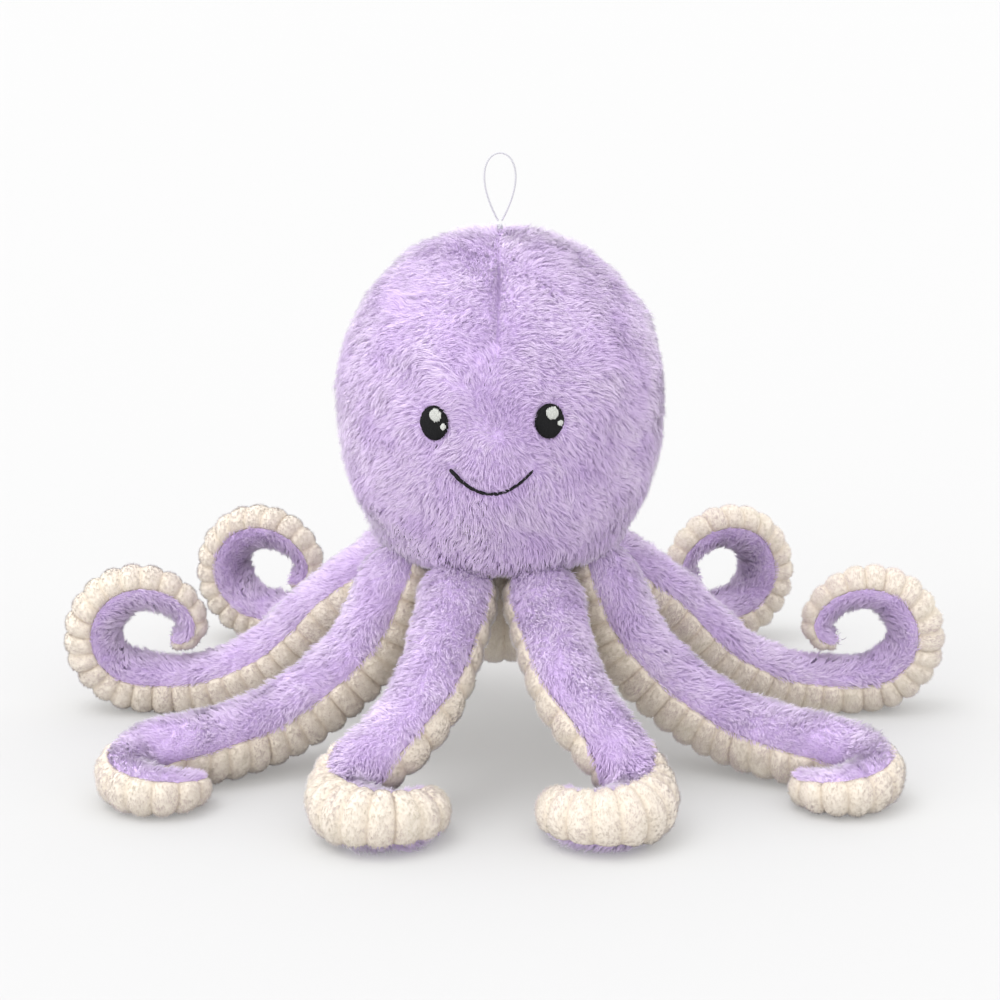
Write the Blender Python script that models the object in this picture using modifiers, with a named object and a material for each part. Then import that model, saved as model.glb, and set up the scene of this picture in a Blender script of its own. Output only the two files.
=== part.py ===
"""A plush octopus: a stuffed round head standing on eight stuffed tentacles.

Each tentacle is a long-pile top panel sewn to a ribbed underside panel round a core of stuffing,
and it turns about its root, where it is sewn into the body. A thin loop at the crown hangs it up.
Metres, +Z up, the face looks towards -Y, and the floor is at z = 0.
"""

import math

import bmesh
import bpy
import numpy as np
from mathutils import Matrix

# Whole object
COLLECTION_NAME = "plush_octopus"
FRAME_SHIFT = (-0.0025, -0.0090, 0.0)

# Cloth
PANEL_THICKNESS = 0.002
THICKEST_PANEL_SHARE = 0.35
CORE_GAP = 0.0020
SEAM_GAP = 0.0010
SHARP_ANGLE_DEG = 50.0

# Head and body, turned about the Z axis
HEAD_CENTRE_Z = 0.198
HEAD_RADIUS = 0.0882
HEAD_HALF_HEIGHT = 0.0890
HEAD_JAW_POWER = 0.45
HEAD_PROFILE_START_DEG = 3.0
HEAD_PROFILE_END_DEG = 141.0
HEAD_PROFILE_STEPS = 10
HEAD_COLLAR = (0.041, 0.1255)
FRONT_PANEL_STEPS = 10
BACK_PANEL_STEPS = 5
HEAD_SEAM_GAP_DEG = 1.2
BASE_RADIUS = 0.0365
BASE_TOP_Z = 0.1225
BASE_BOTTOM_Z = 0.047
BASE_DOME_HEIGHT = 0.024
BASE_DOME_POINTS = 5
BODY_STEPS = 14

# Face, placed by angles round the head: azimuth from -Y towards +X, elevation from its middle
FACE_AZIMUTH_DEG = -3.0
EYE_AZIMUTH_DEG = 20.0
EYE_ELEVATION_DEG = {"left": 1.8, "right": 3.0}
EYE_SIZE = (0.0152, 0.0185)
EYE_THICKNESS = 0.001
EYE_SIDES = 20
HIGHLIGHT_LARGE = {"radius": 0.0031, "across": 0.0014, "up": 0.0042}
HIGHLIGHT_SMALL = {"radius": 0.0015, "across": 0.0048, "up": -0.0010}
HIGHLIGHT_THICKNESS = 0.0005
HIGHLIGHT_SIDES = 12
FACE_GAP = 0.0005
SMILE_HALF_AZIMUTH_DEG = 14.3
SMILE_END_ELEVATION_DEG = -13.0
SMILE_SAG_DEG = 8.8
SMILE_RADIUS = 0.0008
SMILE_POINTS = 13

# Hanging loop
KNOT_RADIUS = 0.0022
KNOT_Z = 0.2872
LOOP_BASE_Z = 0.2902
LOOP_TOP_Z = 0.3262
LOOP_WIDTH = 0.0165
LOOP_CORD_RADIUS = 0.0005
LOOP_START_ANGLE = 0.42
LOOP_WIDEST = 0.77
LOOP_POINTS = 37

# Tentacles
ROOT_RING_RADIUS = 0.060
ROOT_Z = 0.098
ROOT_RADIUS = 0.0220
PANEL_SEGMENTS = 7
WIDEST_PANEL_DEG = 228.0
CORE_SEGMENTS = 5
BODY_RINGS = 16
CURL_RING_DENSITY = 0.030
ROOT_CAP_STEPS = (0.10, 0.45)
TIP_CAP_STEPS = (0.55, 0.12)
CURVE_SAMPLES = 400
STRETCH_SAMPLES = 24

# Half thickness against the share of the tentacle's length
LONG_TAPER = ((0.0, 0.0220), (0.25, 0.0195), (0.42, 0.0176), (0.55, 0.0172), (0.68, 0.0168),
              (0.80, 0.0136), (0.90, 0.0100), (0.96, 0.0077), (1.0, 0.0064))
SHORT_TAPER = ((0.0, 0.0220), (0.4, 0.0196), (0.7, 0.0178), (0.8, 0.0166), (0.9, 0.0140),
               (0.96, 0.0112), (1.0, 0.0086))
MIDDLE_TAPER = ((0.0, 0.0220), (0.25, 0.0212), (0.45, 0.0207), (0.58, 0.0202), (0.68, 0.0178),
                (0.78, 0.0158), (0.86, 0.0138), (0.92, 0.0112), (1.0, 0.0068))

# How far round the lilac reaches from the middle of the top, in degrees, against the share of the length
UPRIGHT_SEAM = ((0.0, 82.0), (0.50, 76.0), (0.66, 88.0), (0.80, 102.0), (1.0, 106.0))
SIDE_SEAM = ((0.0, 82.0), (0.58, 76.0), (0.76, 84.0), (1.0, 86.0))
FRONT_SEAM = ((0.0, 84.0), (0.30, 74.0), (0.48, 68.0), (0.62, 84.0), (0.76, 112.0), (1.0, 114.0))

# The curl of an upright tentacle: angle from its lowest point, and radius as a share of the curl's
UPRIGHT_CURL = ((0, 1.0), (35, 1.0), (70, 1.02), (105, 1.02), (140, 1.0), (175, 0.98),
                (210, 0.98), (240, 1.0), (258, 0.98), (272, 0.84), (279, 0.66), (280, 0.50))

# The hook of a tentacle that curls on the floor: angle from its back, radius share, height, and
# how far the furry top is rolled from straight up towards the middle of the hook
FRONT_HOOK = ((50, 1.0, 0.0270, 50), (85, 1.0, 0.0198, 78), (120, 1.0, 0.0174, 100),
              (155, 1.0, 0.0166, 115), (190, 1.0, 0.0158, 120), (225, 1.04, 0.0148, 120),
              (260, 1.10, 0.0134, 118), (288, 1.20, 0.0116, 115), (312, 1.38, 0.0100, 113))
SIDE_HOOK = ((0, 1.0, 0.0212, 22), (35, 1.0, 0.0190, 30), (70, 1.0, 0.0166, 36),
             (105, 1.0, 0.0150, 40), (140, 1.0, 0.0140, 42), (175, 1.0, 0.0132, 42),
             (210, 0.98, 0.0120, 42), (245, 0.92, 0.0102, 42), (280, 0.84, 0.0084, 42))

UP = np.array((0.0, 0.0, 1.0))

# Looks of the sub-parts: linear colour and roughness
LILAC_PLUSH = ((0.53, 0.37, 0.78), 0.95)
CREAM_PLUSH = ((0.84, 0.76, 0.63), 0.9)
STUFFING = ((0.86, 0.86, 0.84), 1.0)
BLACK_THREAD = ((0.012, 0.012, 0.014), 0.8)
WHITE_THREAD = ((0.90, 0.90, 0.90), 0.5)

# Each tentacle: side (-1 is -X), root azimuth from the front, the points it passes on its way
# to the curl as (outward x, y, z), and the curl. The lowest rings press flat on the floor.
FRONT_RUN = ((0.0376, -0.0980, 0.0610), (0.0550, -0.1165, 0.0422))
SIDE_RUN = ((0.0700, -0.0290, 0.0660), (0.0956, -0.0370, 0.0410), (0.1208, -0.0455, 0.0262),
            (0.1540, -0.0620, 0.0198))
RISING_RUN = ((0.0949, 0.0380, 0.0665), (0.1122, 0.0420, 0.0488), (0.1341, 0.0450, 0.0306),
              (0.1676, 0.0490, 0.0162))
BACK_RUN = ((0.0470, 0.0840, 0.0740), (0.0730, 0.1080, 0.0480), (0.0940, 0.1315, 0.0258),
            (0.1160, 0.1524, 0.0166))
FRONT_KIND = {"azimuth_deg": 22.5, "run": FRONT_RUN, "hook": FRONT_HOOK, "run_roll_deg": 20.0,
              "taper": SHORT_TAPER, "seam": FRONT_SEAM}
SIDE_FRONT_KIND = {"azimuth_deg": 67.5, "run": SIDE_RUN, "hook": SIDE_HOOK, "run_roll_deg": 12.0,
                   "taper": MIDDLE_TAPER, "seam": SIDE_SEAM, "centre": (0.1754, -0.0920), "radius": 0.0200}
SIDE_BACK_KIND = {"azimuth_deg": 112.5, "run": RISING_RUN, "hook": None, "heading_deg": 0.0,
                  "taper": LONG_TAPER, "seam": UPRIGHT_SEAM, "radius": 0.0284}
BACK_KIND = {"azimuth_deg": 157.5, "run": BACK_RUN, "hook": None, "heading_deg": 20.0,
             "taper": LONG_TAPER, "seam": UPRIGHT_SEAM, "radius": 0.0284}
TENTACLES = (
    {**FRONT_KIND, "name": "front_left", "side": -1, "centre": (0.0605, -0.1390), "radius": 0.0200},
    {**FRONT_KIND, "name": "front_right", "side": 1, "centre": (0.0530, -0.1390), "radius": 0.0195},
    {**SIDE_FRONT_KIND, "name": "side_front_left", "side": -1},
    {**SIDE_FRONT_KIND, "name": "side_front_right", "side": 1},
    {**SIDE_BACK_KIND, "name": "side_back_left", "side": -1, "centre": (0.2002, 0.0500, 0.0442)},
    {**SIDE_BACK_KIND, "name": "side_back_right", "side": 1, "centre": (0.2052, 0.0500, 0.0442)},
    {**BACK_KIND, "name": "back_left", "side": -1, "centre": (0.1393, 0.1683, 0.0446)},
    {**BACK_KIND, "name": "back_right", "side": 1, "centre": (0.1333, 0.1683, 0.0446)},
)


def clear_scene():
    for obj in list(bpy.data.objects):
        bpy.data.objects.remove(obj, do_unlink=True)


def plain_material(name, look):
    colour, roughness = look
    material = bpy.data.materials.new(name)
    material.use_nodes = True
    principled = material.node_tree.nodes["Principled BSDF"]
    principled.inputs["Base Color"].default_value = (*colour, 1.0)
    principled.inputs["Roughness"].default_value = roughness
    principled.inputs["Metallic"].default_value = 0.0
    return material


def add_object(name, data, look, smooth=True):
    """An object in the octopus's collection, with a material of its own."""
    obj = bpy.data.objects.new(name, data)
    bpy.data.collections[COLLECTION_NAME].objects.link(obj)
    data.materials.append(plain_material(name + "_material", look))
    if smooth and isinstance(data, bpy.types.Mesh):
        data.shade_smooth()
        data.set_sharp_from_angle(angle=math.radians(SHARP_ANGLE_DEG))
    return obj


def profile_mesh(name, points):
    """A chain of edges in the XZ plane, for a Screw modifier to turn."""
    mesh = bpy.data.meshes.new(name)
    vertices = [(radius, 0.0, z) for radius, z in points]
    edges = [(i, i + 1) for i in range(len(points) - 1)]
    mesh.from_pydata(vertices, edges, [])
    return mesh


def add_turned(name, points, sweep_deg, steps, start_deg, look, thickness=None):
    """A profile turned about Z, and given the cloth's thickness inwards where it is a panel."""
    obj = add_object(name, profile_mesh(name, points), look, smooth=False)
    obj.rotation_euler = (0.0, 0.0, math.radians(start_deg))
    screw = obj.modifiers.new("turn", "SCREW")
    screw.angle = math.radians(sweep_deg)
    screw.steps = steps
    screw.render_steps = steps
    screw.axis = "Z"
    screw.use_smooth_shade = True
    screw.use_merge_vertices = sweep_deg == 360.0
    screw.merge_threshold = 0.00005
    if thickness:
        solidify = obj.modifiers.new("cloth", "SOLIDIFY")
        solidify.thickness = thickness
        solidify.offset = -1.0
        solidify.use_even_offset = True
    return obj


def head_outline(angle, proud):
    """(radius, z) of the head at this angle from the crown, moved outwards. Its lower half is fuller."""
    fullness = 1.0 if angle < math.pi / 2.0 else HEAD_JAW_POWER
    radius = (HEAD_RADIUS + proud) * math.sin(angle) ** fullness
    return radius, HEAD_CENTRE_Z + (HEAD_HALF_HEIGHT + proud) * math.cos(angle)


def head_profile(inset):
    """(radius, z) down the head from near the crown, with every point moved inwards by inset."""
    degrees = np.linspace(HEAD_PROFILE_START_DEG, HEAD_PROFILE_END_DEG, HEAD_PROFILE_STEPS + 1)
    return [head_outline(angle, -inset) for angle in np.radians(degrees)]


def base_profile(inset, top_z):
    """(radius, z) down the body below the head, ending on the axis."""
    radius = BASE_RADIUS - inset
    bottom = BASE_BOTTOM_Z + inset
    dome = BASE_DOME_HEIGHT - inset
    points = [(radius, top_z)]
    for angle in np.radians(np.linspace(0.0, 90.0, BASE_DOME_POINTS)):
        points.append((radius * math.cos(angle), bottom + dome * (1.0 - math.sin(angle))))
    points[-1] = (0.0, bottom)
    return points


def add_head():
    """Three panels of long-pile cloth, the underside panel, and the stuffing that fills them."""
    profile = head_profile(0.0) + [HEAD_COLLAR]
    quarter = 90.0 - HEAD_SEAM_GAP_DEG
    half = 180.0 - HEAD_SEAM_GAP_DEG
    first = HEAD_SEAM_GAP_DEG / 2.0
    panels = (
        ("head_front_panel", half, FRONT_PANEL_STEPS, 180.0 + first),
        ("head_back_right_panel", quarter, BACK_PANEL_STEPS, first),
        ("head_back_left_panel", quarter, BACK_PANEL_STEPS, 90.0 + first),
    )
    for name, sweep, steps, start in panels:
        add_turned(name, profile, sweep, steps, start, LILAC_PLUSH, PANEL_THICKNESS)
    underside = base_profile(0.0, BASE_TOP_Z)
    add_turned("body_base_panel", underside, 360.0, BODY_STEPS, 0.0, CREAM_PLUSH, PANEL_THICKNESS)

    inset = PANEL_THICKNESS + CORE_GAP + HEAD_RADIUS * (1.0 - math.cos(math.pi / BODY_STEPS))
    inner_radius = BASE_RADIUS - PANEL_THICKNESS - 2.0 * CORE_GAP
    core = head_profile(inset)
    core[0] = (0.0, core[0][1])
    core = [point for point in core if point[1] > HEAD_COLLAR[1] + 3.0 * PANEL_THICKNESS]
    core.append((inner_radius, HEAD_COLLAR[1] + 1.5 * PANEL_THICKNESS))
    core += base_profile(BASE_RADIUS - inner_radius, BASE_TOP_Z)
    add_turned("head_and_body_stuffing", core, 360.0, BODY_STEPS, 0.0, STUFFING)


def head_direction(azimuth_deg, elevation_deg):
    azimuth = math.radians(azimuth_deg)
    elevation = math.radians(elevation_deg)
    return np.array((
        math.sin(azimuth) * math.cos(elevation),
        -math.cos(azimuth) * math.cos(elevation),
        math.sin(elevation),
    ))


def on_head(azimuth_deg, elevation_deg, proud):
    """The point this far out of the head's surface, in a direction from the head's middle."""
    radius, z = head_outline(math.radians(90.0 - elevation_deg), proud)
    azimuth = math.radians(azimuth_deg)
    return np.array((radius * math.sin(azimuth), -radius * math.cos(azimuth), z))


def face_axes(azimuth_deg, elevation_deg):
    """(across, up, outward) unit vectors of a patch on the face."""
    outward = head_direction(azimuth_deg, elevation_deg)
    across = np.cross(UP, outward)
    across /= np.linalg.norm(across)
    return across, np.cross(outward, across), outward


def add_disc(name, centre, axes, half_sizes, thickness, sides, look):
    """A flat oval patch whose back face is at centre."""
    mesh = bpy.data.meshes.new(name)
    shape = bmesh.new()
    bmesh.ops.create_cone(
        shape, cap_ends=True, cap_tris=False, segments=sides, radius1=1.0, radius2=1.0, depth=1.0
    )
    bmesh.ops.scale(shape, vec=(*half_sizes, thickness), verts=shape.verts)
    shape.to_mesh(mesh)
    shape.free()
    obj = add_object(name, mesh, look)
    obj.location = centre + axes[2] * thickness / 2.0
    obj.rotation_euler = Matrix(np.stack(axes, axis=1).tolist()).to_euler()


def add_eye(side_name, side):
    """An embroidered oval with a large and a small highlight on it."""
    azimuth = FACE_AZIMUTH_DEG + side * EYE_AZIMUTH_DEG
    elevation = EYE_ELEVATION_DEG[side_name]
    axes = face_axes(azimuth, elevation)
    back = on_head(azimuth, elevation, FACE_GAP)
    half = (EYE_SIZE[0] / 2.0, EYE_SIZE[1] / 2.0)
    add_disc("eye_patch_" + side_name, back, axes, half, EYE_THICKNESS, EYE_SIDES, BLACK_THREAD)
    front = back + axes[2] * (EYE_THICKNESS + FACE_GAP)
    for label, spot in (("large", HIGHLIGHT_LARGE), ("small", HIGHLIGHT_SMALL)):
        centre = front + axes[0] * spot["across"] + axes[1] * spot["up"]
        size = (spot["radius"], spot["radius"])
        name = f"eye_highlight_{label}_{side_name}"
        add_disc(name, centre, axes, size, HIGHLIGHT_THICKNESS, HIGHLIGHT_SIDES, WHITE_THREAD)


def add_tube(name, points, origin, radius, look):
    """A round cord along the points, with filled ends and its origin at the given point."""
    curve = bpy.data.curves.new(name, "CURVE")
    curve.dimensions = "3D"
    curve.bevel_depth = radius
    curve.bevel_resolution = 2
    curve.use_fill_caps = True
    spline = curve.splines.new("POLY")
    spline.points.add(len(points) - 1)
    for spline_point, point in zip(spline.points, points):
        spline_point.co = (*(np.array(point) - origin), 1.0)
    obj = add_object(name, curve, look)
    obj.location = origin


def smile_points():
    points = []
    for share in np.linspace(-1.0, 1.0, SMILE_POINTS):
        azimuth = FACE_AZIMUTH_DEG + share * SMILE_HALF_AZIMUTH_DEG
        elevation = SMILE_END_ELEVATION_DEG - SMILE_SAG_DEG * (1.0 - share * share)
        points.append(on_head(azimuth, elevation, FACE_GAP + SMILE_RADIUS))
    return points


def loop_points():
    """A teardrop that starts and ends at the crown, side by side."""
    points = []
    for angle in np.linspace(LOOP_START_ANGLE, 2.0 * math.pi - LOOP_START_ANGLE, LOOP_POINTS):
        x = -0.5 * LOOP_WIDTH * math.sin(angle) * math.sin(angle / 2.0) / LOOP_WIDEST
        rise = (math.cos(LOOP_START_ANGLE) - math.cos(angle)) / (math.cos(LOOP_START_ANGLE) + 1.0)
        points.append((x, 0.0, LOOP_BASE_Z + (LOOP_TOP_Z - LOOP_BASE_Z) * rise))
    return points


def add_face_and_loop():
    add_eye("left", -1)
    add_eye("right", 1)
    smile = smile_points()
    add_tube("smile_stitching", smile, smile[SMILE_POINTS // 2], SMILE_RADIUS, BLACK_THREAD)
    mesh = bpy.data.meshes.new("loop_knot")
    shape = bmesh.new()
    bmesh.ops.create_uvsphere(shape, u_segments=10, v_segments=6, radius=KNOT_RADIUS)
    shape.to_mesh(mesh)
    shape.free()
    knot = add_object("loop_knot", mesh, WHITE_THREAD)
    knot.location = (0.0, 0.0, KNOT_Z)
    pivot = np.array((0.0, 0.0, LOOP_BASE_Z))
    add_tube("hang_loop", loop_points(), pivot, LOOP_CORD_RADIUS, WHITE_THREAD)


def root_position(spec):
    azimuth = math.radians(spec["azimuth_deg"])
    x = ROOT_RING_RADIUS * math.sin(azimuth)
    y = -ROOT_RING_RADIUS * math.cos(azimuth)
    return np.array((x, y, ROOT_Z))


def rolled_top(outward, roll_deg):
    """Straight up, rolled towards the middle of the hook."""
    roll = math.radians(roll_deg)
    return math.cos(roll) * UP - math.sin(roll) * outward


def curl_points(spec):
    """The points of the curl, each with the direction that the furry top faces there."""
    points, tops = [], []
    if spec["hook"]:
        for angle_deg, share, height, roll_deg in spec["hook"]:
            angle = math.radians(angle_deg)
            outward = np.array((math.sin(angle), math.cos(angle), 0.0))
            points.append(np.array((*spec["centre"], height)) + outward * spec["radius"] * share)
            tops.append(rolled_top(outward, roll_deg))
        return points, tops
    heading = math.radians(spec["heading_deg"])
    ahead = np.array((math.cos(heading), math.sin(heading), 0.0))
    for angle_deg, share in UPRIGHT_CURL:
        angle = math.radians(angle_deg)
        outward = ahead * math.sin(angle) - UP * math.cos(angle)
        points.append(np.array(spec["centre"]) + outward * spec["radius"] * share)
        tops.append(-outward)
    return points, tops


def smooth_curve(points, samples):
    """A centripetal Catmull-Rom curve through the points, as evenly spaced samples."""
    points = np.asarray(points, float)
    spaced = np.vstack((2.0 * points[:1] - points[1:2], points, 2.0 * points[-1:] - points[-2:-1]))
    steps = np.linalg.norm(np.diff(spaced[:, :3], axis=0), axis=1)
    knots = np.concatenate(([0.0], np.cumsum(np.sqrt(steps))))
    dense = []
    for i in range(1, len(spaced) - 2):
        t0, t1, t2, t3 = knots[i - 1:i + 3]
        for t in np.linspace(t1, t2, STRETCH_SAMPLES, endpoint=False):
            a1 = (t1 - t) / (t1 - t0) * spaced[i - 1] + (t - t0) / (t1 - t0) * spaced[i]
            a2 = (t2 - t) / (t2 - t1) * spaced[i] + (t - t1) / (t2 - t1) * spaced[i + 1]
            a3 = (t3 - t) / (t3 - t2) * spaced[i + 1] + (t - t2) / (t3 - t2) * spaced[i + 2]
            b1 = (t2 - t) / (t2 - t0) * a1 + (t - t0) / (t2 - t0) * a2
            b2 = (t3 - t) / (t3 - t1) * a2 + (t - t1) / (t3 - t1) * a3
            dense.append((t2 - t) / (t2 - t1) * b1 + (t - t1) / (t2 - t1) * b2)
    dense = np.array(dense + [points[-1]])
    along = np.concatenate(([0.0], np.cumsum(np.linalg.norm(np.diff(dense[:, :3], axis=0), axis=1))))
    even = np.linspace(0.0, along[-1], samples)
    columns = [np.interp(even, along, dense[:, k]) for k in range(dense.shape[1])]
    return np.stack(columns, axis=1), along[-1]


def tentacle_centreline(spec):
    """(places, tops, length): samples down the middle, and the direction of the furry top at each."""
    root = root_position(spec)
    run = [np.array(point) for point in spec["run"]]
    start = root - ROOT_RADIUS * (run[0] - root) / np.linalg.norm(run[0] - root)
    curl, curl_tops = curl_points(spec)
    places = [start, root, *run, *curl]
    last_top = UP
    if spec["hook"]:
        outward = run[-1] - np.array((*spec["centre"], run[-1][2]))
        last_top = rolled_top(outward / np.linalg.norm(outward), spec["run_roll_deg"])
    tops = [UP] * (1 + len(run)) + [last_top] + curl_tops
    samples, length = smooth_curve(np.hstack((places, tops)), CURVE_SAMPLES)
    samples[:, (0, 3)] *= spec["side"]
    return samples[:, :3], samples[:, 3:], length


def ring_shares(places, length, tip_radius):
    """Where the rings are, as shares of the length: closer together where the tentacle curls."""
    root_end = ROOT_RADIUS / length
    tip_start = 1.0 - tip_radius / length
    shares = np.linspace(0.0, 1.0, CURVE_SAMPLES)
    directions = np.gradient(places, axis=0)
    directions /= np.linalg.norm(directions, axis=1)[:, None]
    turning = np.linalg.norm(np.gradient(directions, axis=0), axis=1) * CURVE_SAMPLES / length
    inside = (shares >= root_end) & (shares <= tip_start)
    weight = np.cumsum((1.0 + CURL_RING_DENSITY * turning) * inside)
    even = np.linspace(weight[inside][0], weight[-1], BODY_RINGS)
    middle = list(np.interp(even, weight[inside], shares[inside]))
    root_cap = [step * root_end for step in ROOT_CAP_STEPS]
    tip_cap = [1.0 - step * tip_radius / length for step in TIP_CAP_STEPS]
    return root_cap + middle + tip_cap


def radius_at(spec, share, length):
    """Half the tentacle's thickness, rounded off at the root and at the tip."""
    taper = np.array(spec["taper"])
    radius = float(np.interp(share, taper[:, 0], taper[:, 1]))
    from_root = share * length
    from_tip = (1.0 - share) * length
    tip_radius = taper[-1, 1]
    if from_root < ROOT_RADIUS:
        radius *= math.sqrt(max(0.0, 1.0 - (1.0 - from_root / ROOT_RADIUS) ** 2))
    if from_tip < tip_radius:
        radius *= math.sqrt(max(0.0, 1.0 - (1.0 - from_tip / tip_radius) ** 2))
    return radius


def tentacle_rings(spec):
    """A list of (middle, top direction, side direction, radius, seam angle) down the tentacle."""
    places, tops, length = tentacle_centreline(spec)
    tangents = np.gradient(places, axis=0)
    seam = np.array(spec["seam"])
    rings = []
    for share in ring_shares(places, length, spec["taper"][-1][1]):
        at = share * (CURVE_SAMPLES - 1)
        middle = np.array([np.interp(at, np.arange(CURVE_SAMPLES), places[:, k]) for k in range(3)])
        tangent = tangents[int(round(at))] / np.linalg.norm(tangents[int(round(at))])
        top = tops[int(round(at))]
        top = top - tangent * top.dot(tangent)
        top /= np.linalg.norm(top)
        seam_deg = float(np.interp(share, seam[:, 0], seam[:, 1]))
        rings.append((middle, top, np.cross(tangent, top), radius_at(spec, share, length), seam_deg))
    return rings


def loft(name, sections, origin, look):
    """A closed solid through the sections, which all have the same number of points."""
    mesh = bpy.data.meshes.new(name)
    shape = bmesh.new()
    loops = [[shape.verts.new(point - origin) for point in section] for section in sections]
    for first, second in zip(loops, loops[1:]):
        for i in range(len(first)):
            j = (i + 1) % len(first)
            shape.faces.new((first[i], first[j], second[j], second[i]))
    shape.faces.new(loops[0][::-1])
    shape.faces.new(loops[-1])
    bmesh.ops.recalc_face_normals(shape, faces=shape.faces)
    shape.to_mesh(mesh)
    shape.free()
    obj = add_object(name, mesh, look)
    obj.location = origin


def ring_point(ring, angle, inset):
    middle, top, side, radius, _ = ring
    point = middle + (radius - inset) * (math.cos(angle) * top + math.sin(angle) * side)
    point[2] = max(point[2], inset)
    return point


def panel_thickness(radius):
    """The cloth's thickness, less where the tentacle is very thin."""
    return min(PANEL_THICKNESS, THICKEST_PANEL_SHARE * radius)


def panel_section(ring, middle_deg, half_deg):
    """The C-shaped section of a panel: its outer arc, and its inner arc back."""
    radius = ring[3]
    thickness = panel_thickness(radius)
    half = math.radians(half_deg) - SEAM_GAP / 2.0 / max(radius - thickness, SEAM_GAP)
    angles = math.radians(middle_deg) + np.linspace(-half, half, PANEL_SEGMENTS + 1)
    outer = [ring_point(ring, angle, 0.0) for angle in angles]
    inner = [ring_point(ring, angle, thickness) for angle in angles[::-1]]
    return outer + inner


def core_section(ring):
    """The stuffing's section, clear of the flats inside the panels."""
    radius = ring[3]
    flat = math.cos(math.radians(WIDEST_PANEL_DEG / 2.0 / PANEL_SEGMENTS))
    inset = panel_thickness(radius) + CORE_GAP + radius * (1.0 - flat)
    angles = np.linspace(0.0, 2.0 * math.pi, CORE_SEGMENTS, endpoint=False)
    return [ring_point(ring, angle, inset) for angle in angles]


def add_tentacle(spec):
    """The three pieces of one tentacle, each with its origin on the root's hinge axis."""
    rings = tentacle_rings(spec)
    name = "tentacle_" + spec["name"]
    hinge = root_position(spec) * (spec["side"], 1.0, 1.0)
    top = [panel_section(ring, 0.0, ring[4]) for ring in rings]
    under = [panel_section(ring, 180.0, 180.0 - ring[4]) for ring in rings]
    core = [core_section(ring) for ring in rings[1:-1]]
    loft(name + "_top_panel", top, hinge, LILAC_PLUSH)
    loft(name + "_ribbed_panel", under, hinge, CREAM_PLUSH)
    loft(name + "_stuffing", core, hinge, STUFFING)


def main():
    clear_scene()
    collection = bpy.data.collections.new(COLLECTION_NAME)
    bpy.context.scene.collection.children.link(collection)
    add_head()
    add_face_and_loop()
    for spec in TENTACLES:
        add_tentacle(spec)
    origin = bpy.data.objects.new("octopus_origin", None)
    collection.objects.link(origin)
    for obj in collection.objects:
        if obj is not origin:
            obj.parent = origin
    origin.location = FRAME_SHIFT


main()
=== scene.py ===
"""The looks of the plush octopus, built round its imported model.

Long lilac pile is grown as real strands on sewn cloth skins, the undersides are ribbed cream plush,
and the eyes, highlights and smile are stitched thread. Metres, +Z up, the face looks towards -Y.
"""

import math

import bpy
import numpy as np
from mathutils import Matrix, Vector
from mathutils.kdtree import KDTree


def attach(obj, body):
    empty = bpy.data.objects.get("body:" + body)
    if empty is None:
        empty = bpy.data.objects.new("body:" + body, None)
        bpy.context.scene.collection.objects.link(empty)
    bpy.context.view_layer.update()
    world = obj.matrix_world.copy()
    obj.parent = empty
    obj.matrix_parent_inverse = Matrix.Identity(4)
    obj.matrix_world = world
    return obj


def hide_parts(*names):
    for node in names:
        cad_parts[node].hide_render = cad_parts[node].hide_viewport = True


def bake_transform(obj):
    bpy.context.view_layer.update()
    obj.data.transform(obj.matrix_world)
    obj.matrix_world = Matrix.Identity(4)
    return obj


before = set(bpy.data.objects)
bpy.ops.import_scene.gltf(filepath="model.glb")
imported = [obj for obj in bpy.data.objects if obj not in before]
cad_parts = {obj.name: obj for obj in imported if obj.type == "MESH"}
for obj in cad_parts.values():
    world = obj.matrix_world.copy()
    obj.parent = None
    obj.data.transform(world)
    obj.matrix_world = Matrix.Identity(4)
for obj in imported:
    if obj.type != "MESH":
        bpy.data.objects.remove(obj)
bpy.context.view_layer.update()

# Frame: the shapes below are worked out round the head's axis, then moved by this to their place
FRAME_SHIFT = np.array((-0.0025, -0.0090, 0.0))
UP = np.array((0.0, 0.0, 1.0))

# Seeds: one for the whole scene, to which each use of random numbers adds its own
SEED = 7
HEAD_FUR_SEED = 100
BASE_SEED = 40
TENTACLE_SEED = 50
EYE_SEEDS = {"left": 31, "right": 32}
SMILE_SEED = 33

# Camera, light and floor
CAMERA_TARGET_Z = 0.13726
CAMERA_DISTANCE = 1.65
CAMERA_ELEVATION_DEG = 16.0
CAMERA_LENS_MM = 110.0
LIGHTS = (
    {"name": "key", "from": (-0.35, -0.10, 1.00), "energy": 1.0, "angle_deg": 40.0},
    {"name": "fill", "from": (-1.00, -0.75, 0.22), "energy": 0.9, "angle_deg": 60.0},
)
WORLD_STRENGTH = 1.50
FLOOR_GREY = 0.40
# The floor glows by itself: painted light that lightens the shadow under the toy.
FLOOR_GLOW = 0.22
FLOOR_HALF_SIDE = 12.0

# Head, as in the design
HEAD_CENTRE_Z = 0.198
HEAD_RADIUS = 0.0882
HEAD_HALF_HEIGHT = 0.0890
HEAD_JAW_POWER = 0.45
HEAD_PROFILE_END_DEG = 141.0
HEAD_PILE = 0.0038
# The neck's (radius, z), from where the round outline ends to the hole that the base closes
HEAD_NECK = ((0.0655, 0.1235), (0.0600, 0.1180), (0.0520, 0.1145), (0.0400, 0.1130))
HEAD_OUTLINE_POINTS = 60
HEAD_COLUMNS = 120
HEAD_RINGS = 84
SEAM_AZIMUTH_DEG = -1.0
DART_END_ELEVATION_DEG = 28.0
DART_FADE_DEG = 7.0
SEAM_TOP_ELEVATION_DEG = 83.0
SEAM_FADE_DEG = 25.0
DART_DEPTH = 0.0050
DART_WIDTH = 0.0036
SEAM_DEPTH = 0.0018
SEAM_WIDTH = 0.0045
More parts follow.
